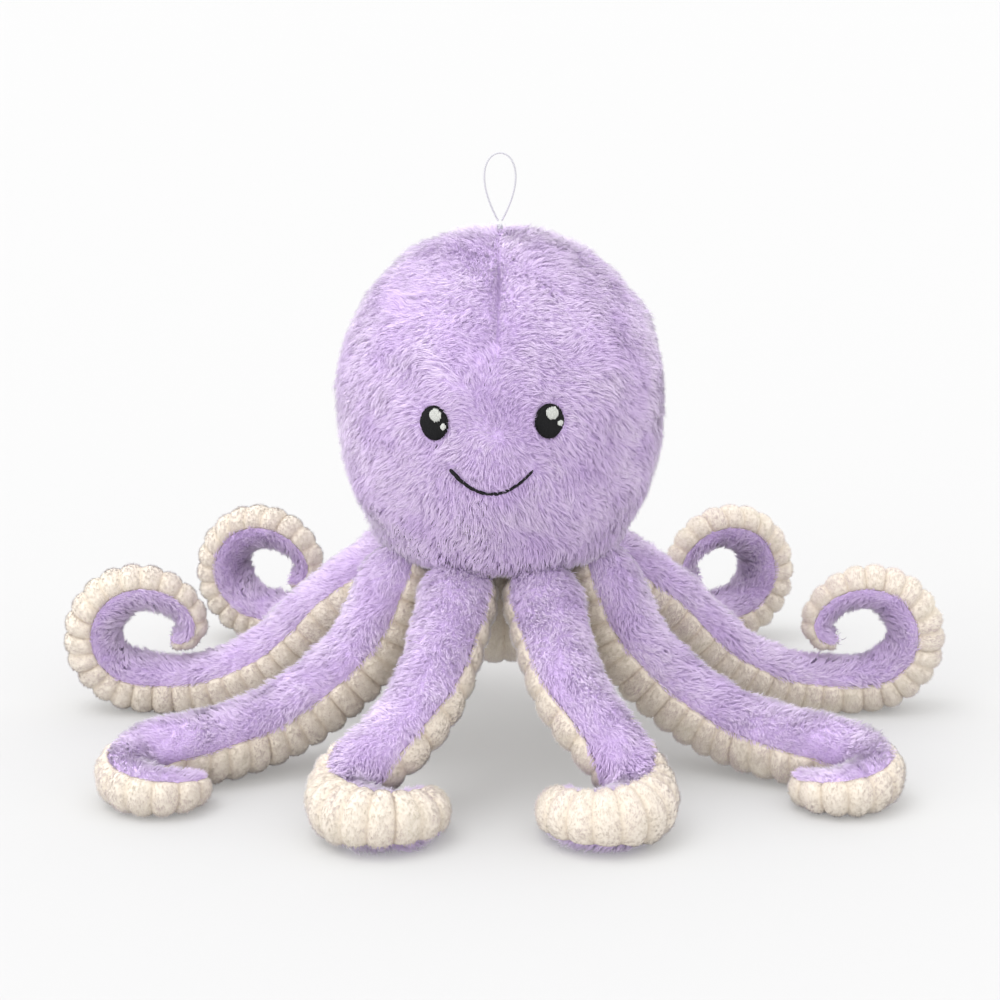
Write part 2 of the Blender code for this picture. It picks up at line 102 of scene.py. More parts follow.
# Each seam of the head: how far round it is from the dart, in degrees, its depth and its width
HEAD_SEAMS = ((0.0, DART_DEPTH, DART_WIDTH), (90.0, SEAM_DEPTH, SEAM_WIDTH),
              (180.0, SEAM_DEPTH, SEAM_WIDTH), (270.0, SEAM_DEPTH, SEAM_WIDTH))
PARTING = 0.0030
PARTING_COMB = 1.2
PARTING_LENGTH_SHARE = 0.55
# The comb on the head: how strong each pull is, and how far it reaches (radians, metres or shares)
HEAD_COMB = {"from_face": 1.3, "face_reach": 0.85, "down_least": 0.25, "down_growth": 0.9, "down_most": 1.3,
             "from_dart": 1.4, "dart_reach": 0.022, "dart_start_deg": 6.0, "dart_fade": 0.15,
             "dart_back": 0.1}
# Lumps and waves are smooth noise, each with its wavelength and its seed
HEAD_LUMP_HEIGHT = 0.0006
HEAD_LUMPS = (0.045, 1)
# Each brow crease: the side of the dart that it is on, and how it rises as it runs out
BROW_CREASES = ((-1.0, -0.45), (1.0, -0.35))
BROW_CREASE_DEPTH = 0.0021
BROW_CREASE_START_DEG = 4.0
BROW_CREASE_WIDTH_DEG = 2.4
BROW_CREASE_LENGTH_DEG = 17.0
FACE_CENTRE_DEG = (-1.0, -2.5)

# The head's filling: a cloth simulation under pressure, in Blender's own units
FILLING_PRESSURE = 4.0
FILLING_STIFFNESS = 10.0
FILLING_SHEAR = 4.0
FILLING_CLOTH_MASS = 0.2
FILLING_QUALITY = 4
FILLING_FRAMES = 20
FILLING_MOST = 0.0016
PINNED_DEPTH = 0.8 * SEAM_DEPTH
PINNED_NECK_RINGS = 10
PINNED_CROWN_RINGS = 2
FILL_DEPTH = 0.006
FILL_SINK = 0.0015
FILL_LUMP_HEIGHT = 0.0012
FILL_LUMPS = (0.020, 5)
FILL_STRIDE = 3

# Face
FACE_AZIMUTH_DEG = -3.0
EYE_AZIMUTH_DEG = 20.0
EYE_ELEVATION_DEG = {"left": 1.8, "right": 3.0}
EYE_HALF_SIZE = (0.0078, 0.0095)
EYE_SINK = 0.0026
EYE_LIFT = 0.0016
PADDING_THICKNESS = 0.0012
PADDING_SHARE = 0.96
PADDING_RINGS = 6
PADDING_SIDES = 32
HIGHLIGHTS = {
    "large": {"half": (0.0032, 0.0036), "across": 0.0012, "up": 0.0043, "out": 0.0015, "lift": 0.0006},
    "small": {"half": (0.0015, 0.0017), "across": 0.0055, "up": -0.0012, "out": 0.0012, "lift": 0.0005},
}
SMILE_HALF_AZIMUTH_DEG = 14.3
SMILE_END_ELEVATION_DEG = -13.7
SMILE_SAG_DEG = 8.8
SMILE_STITCHES = 17
STITCH_STEPS = 8
SMILE_RADIUS = 0.00085
SMILE_SINK = 0.0011
SMILE_MARKS = 60
STITCH_DIP = 0.0004
STITCH_THICKNESSES = (0.85, 1.15)
STITCH_SLANT = 0.35
STITCH_FLATNESS = 0.8
SMILE_LEFT_SWELL = 0.30
THREAD_SIDES = 8
SATIN_PITCH = 0.00062
SATIN_STEPS = 15
SATIN_UNEVEN_ENDS = (-0.5, 0.7)
SATIN_UNEVEN_HEIGHT = 0.12
SATIN_THREAD = {"width": 0.60, "height": 0.55, "least_end": 0.15}
BEHIND_FACE = 1.0
FACE_CLEARANCE = 0.0002
FACE_COMB_REACH = 0.006
FACE_COMB = 1.1
# Strands that point at the face more than this, as a cosine, are cut to a length that grows away from it
FACE_POINTING = -0.2
FACE_SHORTEST = 0.0028
FACE_LENGTH_GROWTH = 1.05
FACE_OVERHANG = 0.0020
FACE_RIM = 0.003
FACE_RIM_LENGTH = 0.0055

# Hanging loop
KNOT_Z = 0.2870
KNOT_SCALE = (0.00042, 0.00042, 0.00060)
KNOT_POINTS = 61
LOOP_BASE_Z = 0.2902
LOOP_TOP_Z = 0.3262
LOOP_WIDTH = 0.0165
LOOP_CORD_RADIUS = 0.0005
LOOP_START_ANGLE = 0.42
LOOP_WIDEST = 0.77
LOOP_POINTS = 37

# Body underside
BASE_RADIUS = 0.0365
BASE_TOP_Z = 0.1190
BASE_BOTTOM_Z = 0.0478
BASE_DOME_HEIGHT = 0.026
BASE_DOME_DEG = (15.0, 88.0)
BASE_DOME_POINTS = 7
BASE_RINGS = 60
BASE_COLUMNS = 96
BASE_RIB_HEIGHT = 0.0022
BASE_RIB_SHARPNESS = 0.6
BASE_PILE_SHARE = 0.6
BASE_COMB_BACK = (0.0, 0.02, 0.0)

# Tentacles, as in the design
ROOT_RING_RADIUS = 0.060
ROOT_Z = 0.098
ROOT_RADIUS = 0.0220
CURVE_SAMPLES = 500
LINE_SHARES = np.linspace(0.0, 1.0, CURVE_SAMPLES)
STRETCH_SAMPLES = 24
FLOOR_GAP = 0.0003
RIB_PITCH = 0.0127
PAW_RIB_PITCH = 0.0146
# Each taper: the radius against the share of the length
LONG_TAPER = ((0.0, 0.0220), (0.25, 0.0195), (0.42, 0.0176), (0.55, 0.0172), (0.68, 0.0168),
              (0.80, 0.0136), (0.90, 0.0100), (0.96, 0.0077), (1.0, 0.0064))
SHORT_TAPER = ((0.0, 0.0220), (0.4, 0.0196), (0.7, 0.0178), (0.8, 0.0166), (0.9, 0.0140),
               (0.96, 0.0112), (1.0, 0.0086))
MIDDLE_TAPER = ((0.0, 0.0220), (0.25, 0.0212), (0.45, 0.0207), (0.58, 0.0202), (0.68, 0.0178),
                (0.78, 0.0158), (0.86, 0.0138), (0.92, 0.0112), (1.0, 0.0068))
# How far round the lilac reaches from the middle of the top, in degrees, against the share of the length
UPRIGHT_SEAM = ((0.0, 82.0), (0.50, 76.0), (0.66, 88.0), (0.80, 102.0), (1.0, 106.0))
SIDE_SEAM = ((0.0, 82.0), (0.58, 76.0), (0.76, 84.0), (1.0, 86.0))
FRONT_SEAM = ((0.0, 84.0), (0.30, 74.0), (0.48, 68.0), (0.62, 84.0), (0.76, 112.0), (1.0, 114.0))
# An upright curl: the angle from straight down, in degrees, and the share of the curl's radius
UPRIGHT_CURL = ((0, 1.0), (35, 1.0), (70, 1.02), (105, 1.02), (140, 1.0), (175, 0.98),
                (210, 0.98), (240, 1.0), (258, 0.98), (272, 0.84), (279, 0.66), (280, 0.50))
# A hook on the floor: the angle in degrees, the share of its radius, the height and the roll in degrees
FRONT_HOOK = ((50, 1.0, 0.0270, 50), (85, 1.0, 0.0198, 78), (120, 1.0, 0.0174, 100),
              (155, 1.0, 0.0166, 115), (190, 1.0, 0.0158, 120), (225, 1.04, 0.0148, 120),
              (260, 1.10, 0.0134, 118), (288, 1.20, 0.0116, 115), (312, 1.38, 0.0100, 113))
SIDE_HOOK = ((0, 1.0, 0.0212, 22), (35, 1.0, 0.0190, 30), (70, 1.0, 0.0166, 36),
             (105, 1.0, 0.0150, 40), (140, 1.0, 0.0140, 42), (175, 1.0, 0.0132, 42),
             (210, 0.98, 0.0120, 42), (245, 0.92, 0.0102, 42), (280, 0.84, 0.0084, 42))
# The run from the root to the curl, for a tentacle on the right
FRONT_RUN = ((0.0376, -0.0980, 0.0610), (0.0550, -0.1165, 0.0422))
SIDE_RUN = ((0.0700, -0.0290, 0.0660), (0.0956, -0.0370, 0.0410), (0.1208, -0.0455, 0.0262),
            (0.1540, -0.0620, 0.0198))
RISING_RUN = ((0.0949, 0.0380, 0.0665), (0.1122, 0.0420, 0.0488), (0.1341, 0.0450, 0.0306),
              (0.1676, 0.0490, 0.0162))
BACK_RUN = ((0.0470, 0.0840, 0.0740), (0.0730, 0.1080, 0.0480), (0.0940, 0.1315, 0.0258),
            (0.1160, 0.1524, 0.0166))
FRONT_KIND = {"azimuth_deg": 22.5, "run": FRONT_RUN, "hook": FRONT_HOOK, "run_roll_deg": 20.0,
              "taper": SHORT_TAPER, "seam": FRONT_SEAM, "rib_pitch": PAW_RIB_PITCH}
SIDE_FRONT_KIND = {"azimuth_deg": 67.5, "run": SIDE_RUN, "hook": SIDE_HOOK, "run_roll_deg": 12.0,
                   "taper": MIDDLE_TAPER, "seam": SIDE_SEAM, "rib_pitch": RIB_PITCH,
                   "centre": (0.1754, -0.0920), "radius": 0.0200}
SIDE_BACK_KIND = {"azimuth_deg": 112.5, "run": RISING_RUN, "hook": None, "heading_deg": 0.0,
                  "taper": LONG_TAPER, "seam": UPRIGHT_SEAM, "rib_pitch": RIB_PITCH, "radius": 0.0284}
BACK_KIND = {"azimuth_deg": 157.5, "run": BACK_RUN, "hook": None, "heading_deg": 20.0,
             "taper": LONG_TAPER, "seam": UPRIGHT_SEAM, "rib_pitch": RIB_PITCH, "radius": 0.0284}
TENTACLES = (
    {**FRONT_KIND, "name": "front_left", "side": -1, "centre": (0.0605, -0.1390), "radius": 0.0200},
    {**FRONT_KIND, "name": "front_right", "side": 1, "centre": (0.0530, -0.1390), "radius": 0.0195},
    {**SIDE_FRONT_KIND, "name": "side_front_left", "side": -1},
    {**SIDE_FRONT_KIND, "name": "side_front_right", "side": 1},
    {**SIDE_BACK_KIND, "name": "side_back_left", "side": -1, "centre": (0.2002, 0.0500, 0.0442)},
    {**SIDE_BACK_KIND, "name": "side_back_right", "side": 1, "centre": (0.2052, 0.0500, 0.0442)},
    {**BACK_KIND, "name": "back_left", "side": -1, "centre": (0.1393, 0.1683, 0.0446)},
    {**BACK_KIND, "name": "back_right", "side": 1, "centre": (0.1333, 0.1683, 0.0446)},
)

# Cloth and pile
CLOTH_THICKNESS = 0.0012
TENTACLE_PILE = 0.0036
MOST_PILE_SHARE = 0.22
RIB_HEIGHT = 0.0030
RIB_LEVEL = 0.85
RIB_SHARPNESS = 0.5
RIB_END_POWER = 7
RIB_END_SHARE = 0.35
RIB_END_TUCK = 0.0008
RINGS_PER_RIB = 12
RIB_COLUMNS = 30
TOP_RINGS = 150
TOP_COLUMNS = 22
CLOTH_ENDS = (0.004, 0.9995)
SEAM_LAP = 0.06
TENTACLE_FILL = {"ends": (0.06, 0.975), "rings": 60, "sides": 14, "depth": 0.46, "lump_height": 0.05,
                 "lumps": (0.012, 9), "lowest": 0.002}
HEAD_STRANDS_PER_CM2 = 108.0
TENTACLE_STRANDS_PER_CM2 = 105.0
CREAM_STRANDS_PER_CM2 = 130.0
HEAD_STRAND_LENGTH = 0.0066
TENTACLE_STRAND_LENGTH = 0.0060
LILAC_STRAND_RADIUS = 0.00020
CREAM_STRAND_LENGTH = 0.0021
CREAM_STRAND_RADIUS = 0.00019
TUFT_SPACING = 0.0030
TUFT_PULL = 0.24
HEAD_LEAN = 0.50
TENTACLE_LEAN = 0.48
# How the tufts and the strands in them vary: spreads in radians, and ranges of factors
TUFT_SPREAD = {"turn": 0.22, "lean": 0.12, "lengths": (0.80, 1.15)}
STRAND_SPREAD = {"turn": 0.14, "lean": 0.12, "lengths": (0.82, 1.12), "radii": (0.8, 1.25)}
STRAND_FOLD = (0.52, 0.10)
PULL_RANGE = (0.4, 1.2)
MIDDLE_PULL = 0.35
MIDDLE_RADIUS = 0.85
ROOT_SINK = 0.0004
TUFT_TONE_SHARE = 0.55
CREAM_SPREAD = {"lean": (0.95, 0.16), "turn": 0.22, "lengths": (0.6, 1.2), "radii": (0.8, 1.3)}
CREAM_ROOT_SINK = 0.0002
# Each swirl of the pile: how far it turns, in radians, its wavelength and its seed
HEAD_SWIRLS = ((0.42, 0.060, 2), (0.26, 0.018, 3))
TENTACLE_SWIRLS = ((0.26, 0.050, 6), (0.30, 0.016, 7))
COMB_SIDEWAYS = 0.22
SEAM_TRIM = 0.35
SEAM_TRIM_START = 0.80
THIN_PILE_POWER = 0.35
GROOVE_LENGTH_SHARE = 0.55
CREAM_REACH = 0.98
LENGTH_WAVE = 0.10
HEAD_LENGTH_WAVES = (0.030, 4)
TENTACLE_LENGTH_WAVES = (0.025, 8)

# Colours, linear
# The lilac strands are darker towards the root: painted shade deep in the pile.
LILAC_SHADED_ROOT = (0.73, 0.555, 0.88)
LILAC_MIDDLE = (0.80, 0.64, 0.92)
LILAC_TIP = (0.85, 0.72, 0.94)
LILAC_TONES = ((0.95, 0.93, 0.965), (1.01, 1.015, 1.005))
LILAC_CLOTH = ((0.66, 0.48, 0.83), (0.74, 0.58, 0.89))
# The cream strands are darker towards the root too: painted shade deep in the pile.
CREAM_SHADED_ROOT = (0.65, 0.575, 0.48)
CREAM_MIDDLE = (0.72, 0.65, 0.56)
CREAM_TIP = (0.755, 0.69, 0.61)
CREAM_TONES = ((0.89, 0.87, 0.84), (1.04, 1.04, 1.04))
# The groove and slope colours are painted shade in the hollows of the ribs; the crest colour is the cream's
# own.
CREAM_GROOVE_SHADE = (0.60, 0.50, 0.40)
CREAM_SLOPE_SHADE = (0.69, 0.615, 0.52)
CREAM_CREST = (0.715, 0.65, 0.57)
CREAM_SPECKS = ((0.95, 0.935, 0.915), (1.0, 1.0, 1.0))
PATCH_TONES = ((0.89, 0.835, 0.94), (1.03, 1.05, 1.015))
PILE_SHEEN = (0.98, 0.95, 1.0)
CREAM_SHEEN = (1.0, 0.97, 0.92)
THREAD_BLACK = (0.005, 0.005, 0.006)
THREAD_WHITE = (0.60, 0.61, 0.58)
CORD_TONES = ((0.42, 0.42, 0.45), (0.60, 0.60, 0.63))
FIBRE_TONES = ((0.70, 0.70, 0.68), (0.86, 0.86, 0.84))


# ---------------------------------------------------------------- vectors and noise

def unit(vectors):
    """The vectors, each with length 1."""
    return vectors / np.maximum(np.linalg.norm(vectors, axis=-1, keepdims=True), 1e-12)


def flat_on(vectors, normals):
    """The part of each vector that lies along the surface, with length 1."""
    along = vectors - normals * (vectors * normals).sum(axis=1, keepdims=True)
    return unit(along)


def turned(vectors, normals, angles):
    """Vectors on the surface, turned about its normals by the angles in radians."""
    across = np.cross(normals, vectors)
    return vectors * np.cos(angles)[:, None] + across * np.sin(angles)[:, None]


def leaning(normals, combs, angles):
    """Directions that lean from the normals towards the combs by the angles in radians."""
    return unit(normals * np.cos(angles)[:, None] + combs * np.sin(angles)[:, None])


def wavy(points, wavelength, seed, waves=8):
    """Smooth noise of about this wavelength at each point, around 0 and mostly within 2."""
    random = np.random.default_rng(SEED + seed)
    directions = unit(random.normal(size=(waves, 3)))
    rates = 2.0 * math.pi / wavelength * random.uniform(0.7, 1.4, waves)
    phases = random.uniform(0.0, 2.0 * math.pi, waves)
    return np.sin(points @ (directions.T * rates) + phases).sum(axis=1) * math.sqrt(2.0 / waves)


def swirled(combs, places, normals, swirls):
    """The combs, turned on the surface by smooth noise."""
    turn = sum(amount * wavy(places, wavelength, seed) for amount, wavelength, seed in swirls)
    return turned(combs, normals, turn)


# ---------------------------------------------------------------- materials

def new_material(name):
    """(material, nodes, links, principled) of an empty node material."""
    material = bpy.data.materials.new(name)
    material.use_nodes = True
    nodes = material.node_tree.nodes
    return material, nodes, material.node_tree.links, nodes["Principled BSDF"]


def ramp(nodes, stops):
    """A colour ramp through the stops, each a place from 0 to 1 and a colour."""
    node = nodes.new("ShaderNodeValToRGB")
    elements = node.color_ramp.elements
    while len(elements) < len(stops):
        elements.new(0.5)
    for element, (place, colour) in zip(elements, stops):
        element.position = place
        element.color = (*colour, 1.0)
    return node


def noise(nodes, links, scale, detail=3.0):
    """The factor of a noise texture in the object's own coordinates."""
    place = nodes.new("ShaderNodeTexCoord")
    texture = nodes.new("ShaderNodeTexNoise")
    texture.inputs["Scale"].default_value = scale
    texture.inputs["Detail"].default_value = detail
    links.new(place.outputs["Object"], texture.inputs["Vector"])
    return texture.outputs["Fac"]


def attribute(nodes, name):
    """The factor of a mesh attribute."""
    node = nodes.new("ShaderNodeAttribute")
    node.attribute_name = name
    return node.outputs["Fac"]


def mixed(nodes, links, factor, first, second, blend="MIX"):
    """The colour that mixes two colours, each a socket or three numbers, by a factor."""
    node = nodes.new("ShaderNodeMix")
    node.data_type = "RGBA"
    node.blend_type = blend
    for socket, value in ((node.inputs[0], factor), (node.inputs[6], first), (node.inputs[7], second)):
        if isinstance(value, bpy.types.NodeSocket):
            links.new(value, socket)
        elif isinstance(value, float):
            socket.default_value = value
        else:
            socket.default_value = (*value, 1.0)
    return node.outputs[2]


def stretched(nodes, links, value, low, high):
    """The value, with its range from low to high stretched to run from 0 to 1."""
    node = nodes.new("ShaderNodeMapRange")
    links.new(value, node.inputs["Value"])
    node.inputs["From Min"].default_value = low
    node.inputs["From Max"].default_value = high
    return node.outputs["Result"]


def add_bump(nodes, links, principled, height, distance):
    """Raises the surface by up to this distance where the height is 1."""
    bump = nodes.new("ShaderNodeBump")
    bump.inputs["Distance"].default_value = distance
    bump.inputs["Strength"].default_value = 1.0
    links.new(height, bump.inputs["Height"])
    links.new(bump.outputs["Normal"], principled.inputs["Normal"])


def set_sheen(principled, weight, roughness, tint):
    """The soft glow that fibres give at a grazing angle."""
    principled.inputs["Sheen Weight"].default_value = weight
    principled.inputs["Sheen Roughness"].default_value = roughness
    principled.inputs["Sheen Tint"].default_value = (*tint, 1.0)


def pile_material(name, colours, middle, tones, patch_scale):
    """Strands: a colour from root to tip that is darker at the root, painted shade deep in the pile, a tone
    for each strand and soft patches over the cloth.
    """
    material, nodes, links, principled = new_material(name)
    # The ramp darkens each strand towards its root, as painted shade.
    gradient = ramp(nodes, tuple(zip((0.0, middle, 1.0), colours)))
    links.new(attribute(nodes, "along"), gradient.inputs["Fac"])
    tone = mixed(nodes, links, attribute(nodes, "tone"), *tones)
    colour = mixed(nodes, links, 1.0, gradient.outputs["Color"], tone, "MULTIPLY")
    patches = stretched(nodes, links, noise(nodes, links, patch_scale), low=0.35, high=0.65)
    shade = mixed(nodes, links, patches, *PATCH_TONES)
    links.new(mixed(nodes, links, 1.0, colour, shade, "MULTIPLY"), principled.inputs["Base Color"])
    principled.inputs["Roughness"].default_value = 0.62
    principled.inputs["Specular IOR Level"].default_value = 0.25
    set_sheen(principled, weight=1.0, roughness=0.40, tint=PILE_SHEEN)
    return material


def backing_material(name, dark, light):
    """The cloth under the pile: short fibres, lighter and darker in fine specks."""
    material, nodes, links, principled = new_material(name)
    specks = noise(nodes, links, scale=900.0, detail=4.0)
    fine = stretched(nodes, links, specks, low=0.35, high=0.65)
    links.new(mixed(nodes, links, fine, dark, light), principled.inputs["Base Color"])
    principled.inputs["Roughness"].default_value = 0.95
    add_bump(nodes, links, principled, specks, distance=0.0006)
    return material


def rib_material(name):
    """Cream plush: paler on the crests of the ribs and beige in the grooves, a painted shade in their
    hollows; speckled all over.
    """
    material, nodes, links, principled = new_material(name)
    crest = ramp(nodes, ((0.0, CREAM_GROOVE_SHADE), (0.45, CREAM_SLOPE_SHADE), (1.0, CREAM_CREST)))
    links.new(attribute(nodes, "crest"), crest.inputs["Fac"])
    specks = noise(nodes, links, scale=850.0, detail=3.0)
    fine = stretched(nodes, links, specks, low=0.38, high=0.62)
    speckle = mixed(nodes, links, fine, *CREAM_SPECKS)
    colour = mixed(nodes, links, 1.0, crest.outputs["Color"], speckle, "MULTIPLY")
    links.new(colour, principled.inputs["Base Color"])
    principled.inputs["Roughness"].default_value = 0.9
    set_sheen(principled, weight=0.2, roughness=0.5, tint=CREAM_SHEEN)
    add_bump(nodes, links, principled, specks, distance=0.0002)
    return material


def thread_material(name, colour, painted_gleam):
    """Embroidery thread: fine twisted filaments, the lighter ones with a painted highlight added to their
    colour.
    """
    material, nodes, links, principled = new_material(name)
    filaments = noise(nodes, links, scale=2600.0, detail=2.0)
    fine = stretched(nodes, links, filaments, low=0.35, high=0.65)
    darker = tuple(0.72 * channel for channel in colour)
    # The lighter filaments also carry a painted highlight, added to the thread's colour.
    lighter = tuple(min(1.0, 1.12 * channel + painted_gleam) for channel in colour)
    links.new(mixed(nodes, links, fine, darker, lighter), principled.inputs["Base Color"])
    principled.inputs["Roughness"].default_value = 0.5
    principled.inputs["Specular IOR Level"].default_value = 0.2
    add_bump(nodes, links, principled, filaments, distance=0.0002)
    return material


def cord_material(name):
    """Smooth white cord with a fine twist round it."""
    material, nodes, links, principled = new_material(name)
    place = nodes.new("ShaderNodeTexCoord")
    twist = nodes.new("ShaderNodeTexWave")
    twist.wave_type = "BANDS"
    twist.bands_direction = "DIAGONAL"
    twist.inputs["Scale"].default_value = 420.0
    twist.inputs["Distortion"].default_value = 1.5
    links.new(place.outputs["Object"], twist.inputs["Vector"])
    colour = mixed(nodes, links, twist.outputs["Fac"], *CORD_TONES)
    links.new(colour, principled.inputs["Base Color"])
    principled.inputs["Roughness"].default_value = 0.35
    add_bump(nodes, links, principled, twist.outputs["Fac"], distance=0.0001)
    return material


def fibre_material(name):
    """Loose polyester fibre: stretched, tangled wisps."""
    material, nodes, links, principled = new_material(name)
    wisps = noise(nodes, links, scale=350.0, detail=6.0)
    links.new(mixed(nodes, links, wisps, *FIBRE_TONES), principled.inputs["Base Color"])
    principled.inputs["Roughness"].default_value = 1.0
    add_bump(nodes, links, principled, wisps, distance=0.002)
    return material


MATERIALS = {
    "lilac_pile": pile_material("lilac_pile", (LILAC_SHADED_ROOT, LILAC_MIDDLE, LILAC_TIP), middle=0.5,
                                tones=LILAC_TONES, patch_scale=45.0),
    "cream_pile": pile_material("cream_pile", (CREAM_SHADED_ROOT, CREAM_MIDDLE, CREAM_TIP), middle=0.6,
                                tones=CREAM_TONES, patch_scale=60.0),
    "lilac_cloth": backing_material("lilac_cloth", *LILAC_CLOTH),
    "cream_ribs": rib_material("cream_ribs"),
    "black_thread": thread_material("black_thread", THREAD_BLACK, 0.004),
    "white_thread": thread_material("white_thread", THREAD_WHITE, 0.0),
    "cord": cord_material("loop_cord"),
    "fibre": fibre_material("fibre_fill"),
}


# ---------------------------------------------------------------- meshes

def placed(name, data):
    """A new object of this mesh, curve, camera or light, in the scene."""
    obj = bpy.data.objects.new(name, data)
    bpy.context.scene.collection.objects.link(obj)
    return obj


def add_mesh(name, points, faces, material):
    """A smooth-shaded mesh of these points and faces."""
    mesh = bpy.data.meshes.new(name)
    mesh.from_pydata([tuple(point) for point in points], [], faces)
    mesh.materials.append(MATERIALS[material])
    mesh.shade_smooth()
    return placed(name, mesh)


def grid_faces(rows, columns, wrap):
    """Quads of a grid of points; with wrap, the last column joins the first."""
    faces = []
    for row in range(rows - 1):
        for column in range(columns if wrap else columns - 1):
            after = (column + 1) % columns
            faces.append((row * columns + column, (row + 1) * columns + column,
                          (row + 1) * columns + after, row * columns + after))
    return faces


def tube_faces(rings, sides):
    """Faces of a tube of rings: its wall, and a flat face on each end."""
    faces = grid_faces(rings, sides, True)
    faces.append(tuple(range(sides)))
    faces.append(tuple(range(rings * sides - 1, (rings - 1) * sides - 1, -1)))
    return faces


def bag(grid):
    """(points, faces) of a grid that wraps, closed at both ends by a point in the ring's middle."""
    rows, columns = grid.shape[:2]
    points = list(grid.reshape(-1, 3)) + [grid[0].mean(axis=0), grid[-1].mean(axis=0)]
    faces = grid_faces(rows, columns, True)
    last = (rows - 1) * columns
    for column in range(columns):
        after = (column + 1) % columns
        faces.append((rows * columns, column, after))
        faces.append((rows * columns + 1, last + after, last + column))
    return points, faces


def thicken(sheet, thickness):
    """Gives the sheet this thickness, on its inner side."""
    solid = sheet.modifiers.new("thickness", "SOLIDIFY")
    solid.thickness = thickness
    solid.offset = -1.0


def add_cloth(name, grid, material, wrap=False):
    """Cloth through the grid of points, with its thickness on the inner side."""
    rows, columns = grid.shape[:2]
    cloth = add_mesh(name, grid.reshape(-1, 3), grid_faces(rows, columns, wrap), material)
    thicken(cloth, CLOTH_THICKNESS)
    return cloth


def set_attribute(obj, name, values):
    """Stores one number for each corner of the mesh, for its material to read."""
    layer = obj.data.attributes.new(name, "FLOAT", "POINT")
    layer.data.foreach_set("value", np.asarray(values, np.float32).ravel())


# A strand has three corners at its root, three at its middle and a tip. A short one has no middle.
# Its roundness is how far its normals turn from the cloth's towards its own sides.
LONG_STRAND = {
    "faces": ((0, 2, 1), (0, 1, 4, 3), (1, 2, 5, 4), (2, 0, 3, 5), (3, 4, 6), (4, 5, 6), (5, 3, 6)),
    "along": (0.0, 0.0, 0.0, 0.5, 0.5, 0.5, 1.0),
    "roundness": 0.45,
}
SHORT_STRAND = {
    "faces": ((0, 2, 1), (0, 1, 3), (1, 2, 3), (2, 0, 3)),
    "along": (0.0, 0.0, 0.0, 1.0),
    "roundness": 1.0,
}
CELL_MARGIN = 0.1


def strand_map(kind, count):
    """A place of its own for each strand in the map that its colours are kept in."""
    across = math.ceil(math.sqrt(count))
    corners = []
    for face in kind["faces"]:
        for corner in face:
            corners.append(((corner % 3) / 2.0, kind["along"][corner]))
    corners = CELL_MARGIN + np.array(corners) * (1.0 - 2.0 * CELL_MARGIN)
    cells = np.stack((np.arange(count) % across, np.arange(count) // across), axis=1)
    return (cells[:, None, :] + corners[None, :, :]) / across


def soft_normals(corners, facing, roundness):
    """Normals that light a strand mostly like the cloth that it stands on."""
    normals = np.repeat(facing[:, None, :], corners.shape[1], axis=1)
    for first in range(0, corners.shape[1] - 1, 3):
        ring = corners[:, first:first + 3]
        normals[:, first:first + 3] += roundness * unit(ring - ring.mean(axis=1, keepdims=True))
    return unit(normals).reshape(-1, 3)


def add_strands(name, kind, corners, facing, tones, material):
    """One mesh of all the strands, whose corners are (strand, corner, xyz)."""
    count, size = corners.shape[:2]
    lengths = np.array([len(face) for face in kind["faces"]])
    template = np.concatenate([np.array(face) for face in kind["faces"]])
    loops = (template[None, :] + size * np.arange(count)[:, None]).ravel()
    starts = np.concatenate(([0], np.cumsum(np.tile(lengths, count))[:-1]))
    mesh = bpy.data.meshes.new(name)
    mesh.vertices.add(count * size)
    mesh.loops.add(len(loops))
    mesh.polygons.add(count * len(lengths))
    mesh.vertices.foreach_set("co", corners.astype(np.float32).ravel())
    mesh.loops.foreach_set("vertex_index", loops.astype(np.int32))
    mesh.polygons.foreach_set("loop_start", starts.astype(np.int32))
    mesh.update(calc_edges=True)
    uv_map = mesh.uv_layers.new(name="OFBake")
    uv_map.data.foreach_set("uv", strand_map(kind, count).astype(np.float32).ravel())
    mesh.shade_smooth()
    mesh.normals_split_custom_set_from_vertices(soft_normals(corners, facing, kind["roundness"]))
    mesh.materials.append(MATERIALS[material])
    strands = placed(name, mesh)
    set_attribute(strands, "along", np.tile(kind["along"], count))
    set_attribute(strands, "tone", np.repeat(tones, size))
    return strands


def round_corners(places, directions, radii, spins):
    """Three corners round each place, across its direction: (strand, 3, xyz)."""
    helper = np.where(np.abs(directions[:, 2:3]) < 0.9, UP, np.array((1.0, 0.0, 0.0)))
    across = unit(np.cross(directions, helper))
    over = np.cross(directions, across)
    turns = spins[:, None] + np.array((0.0, 2.0, 4.0)) * math.pi / 3.0
    around = np.cos(turns)[:, :, None] * across[:, None, :] + np.sin(turns)[:, :, None] * over[:, None, :]
    return places[:, None, :] + around * radii[:, None, None]


def nearest_guides(places, per_tuft, random):
    """For each place, the index of the nearest of the places picked as the middle of a tuft."""
    picked = random.permutation(len(places))[:max(1, int(len(places) / per_tuft))]
    tree = KDTree(len(picked))
    for index in picked:
        tree.insert(places[index], int(index))
    tree.balance()
    return np.array([tree.find(place)[1] for place in places])


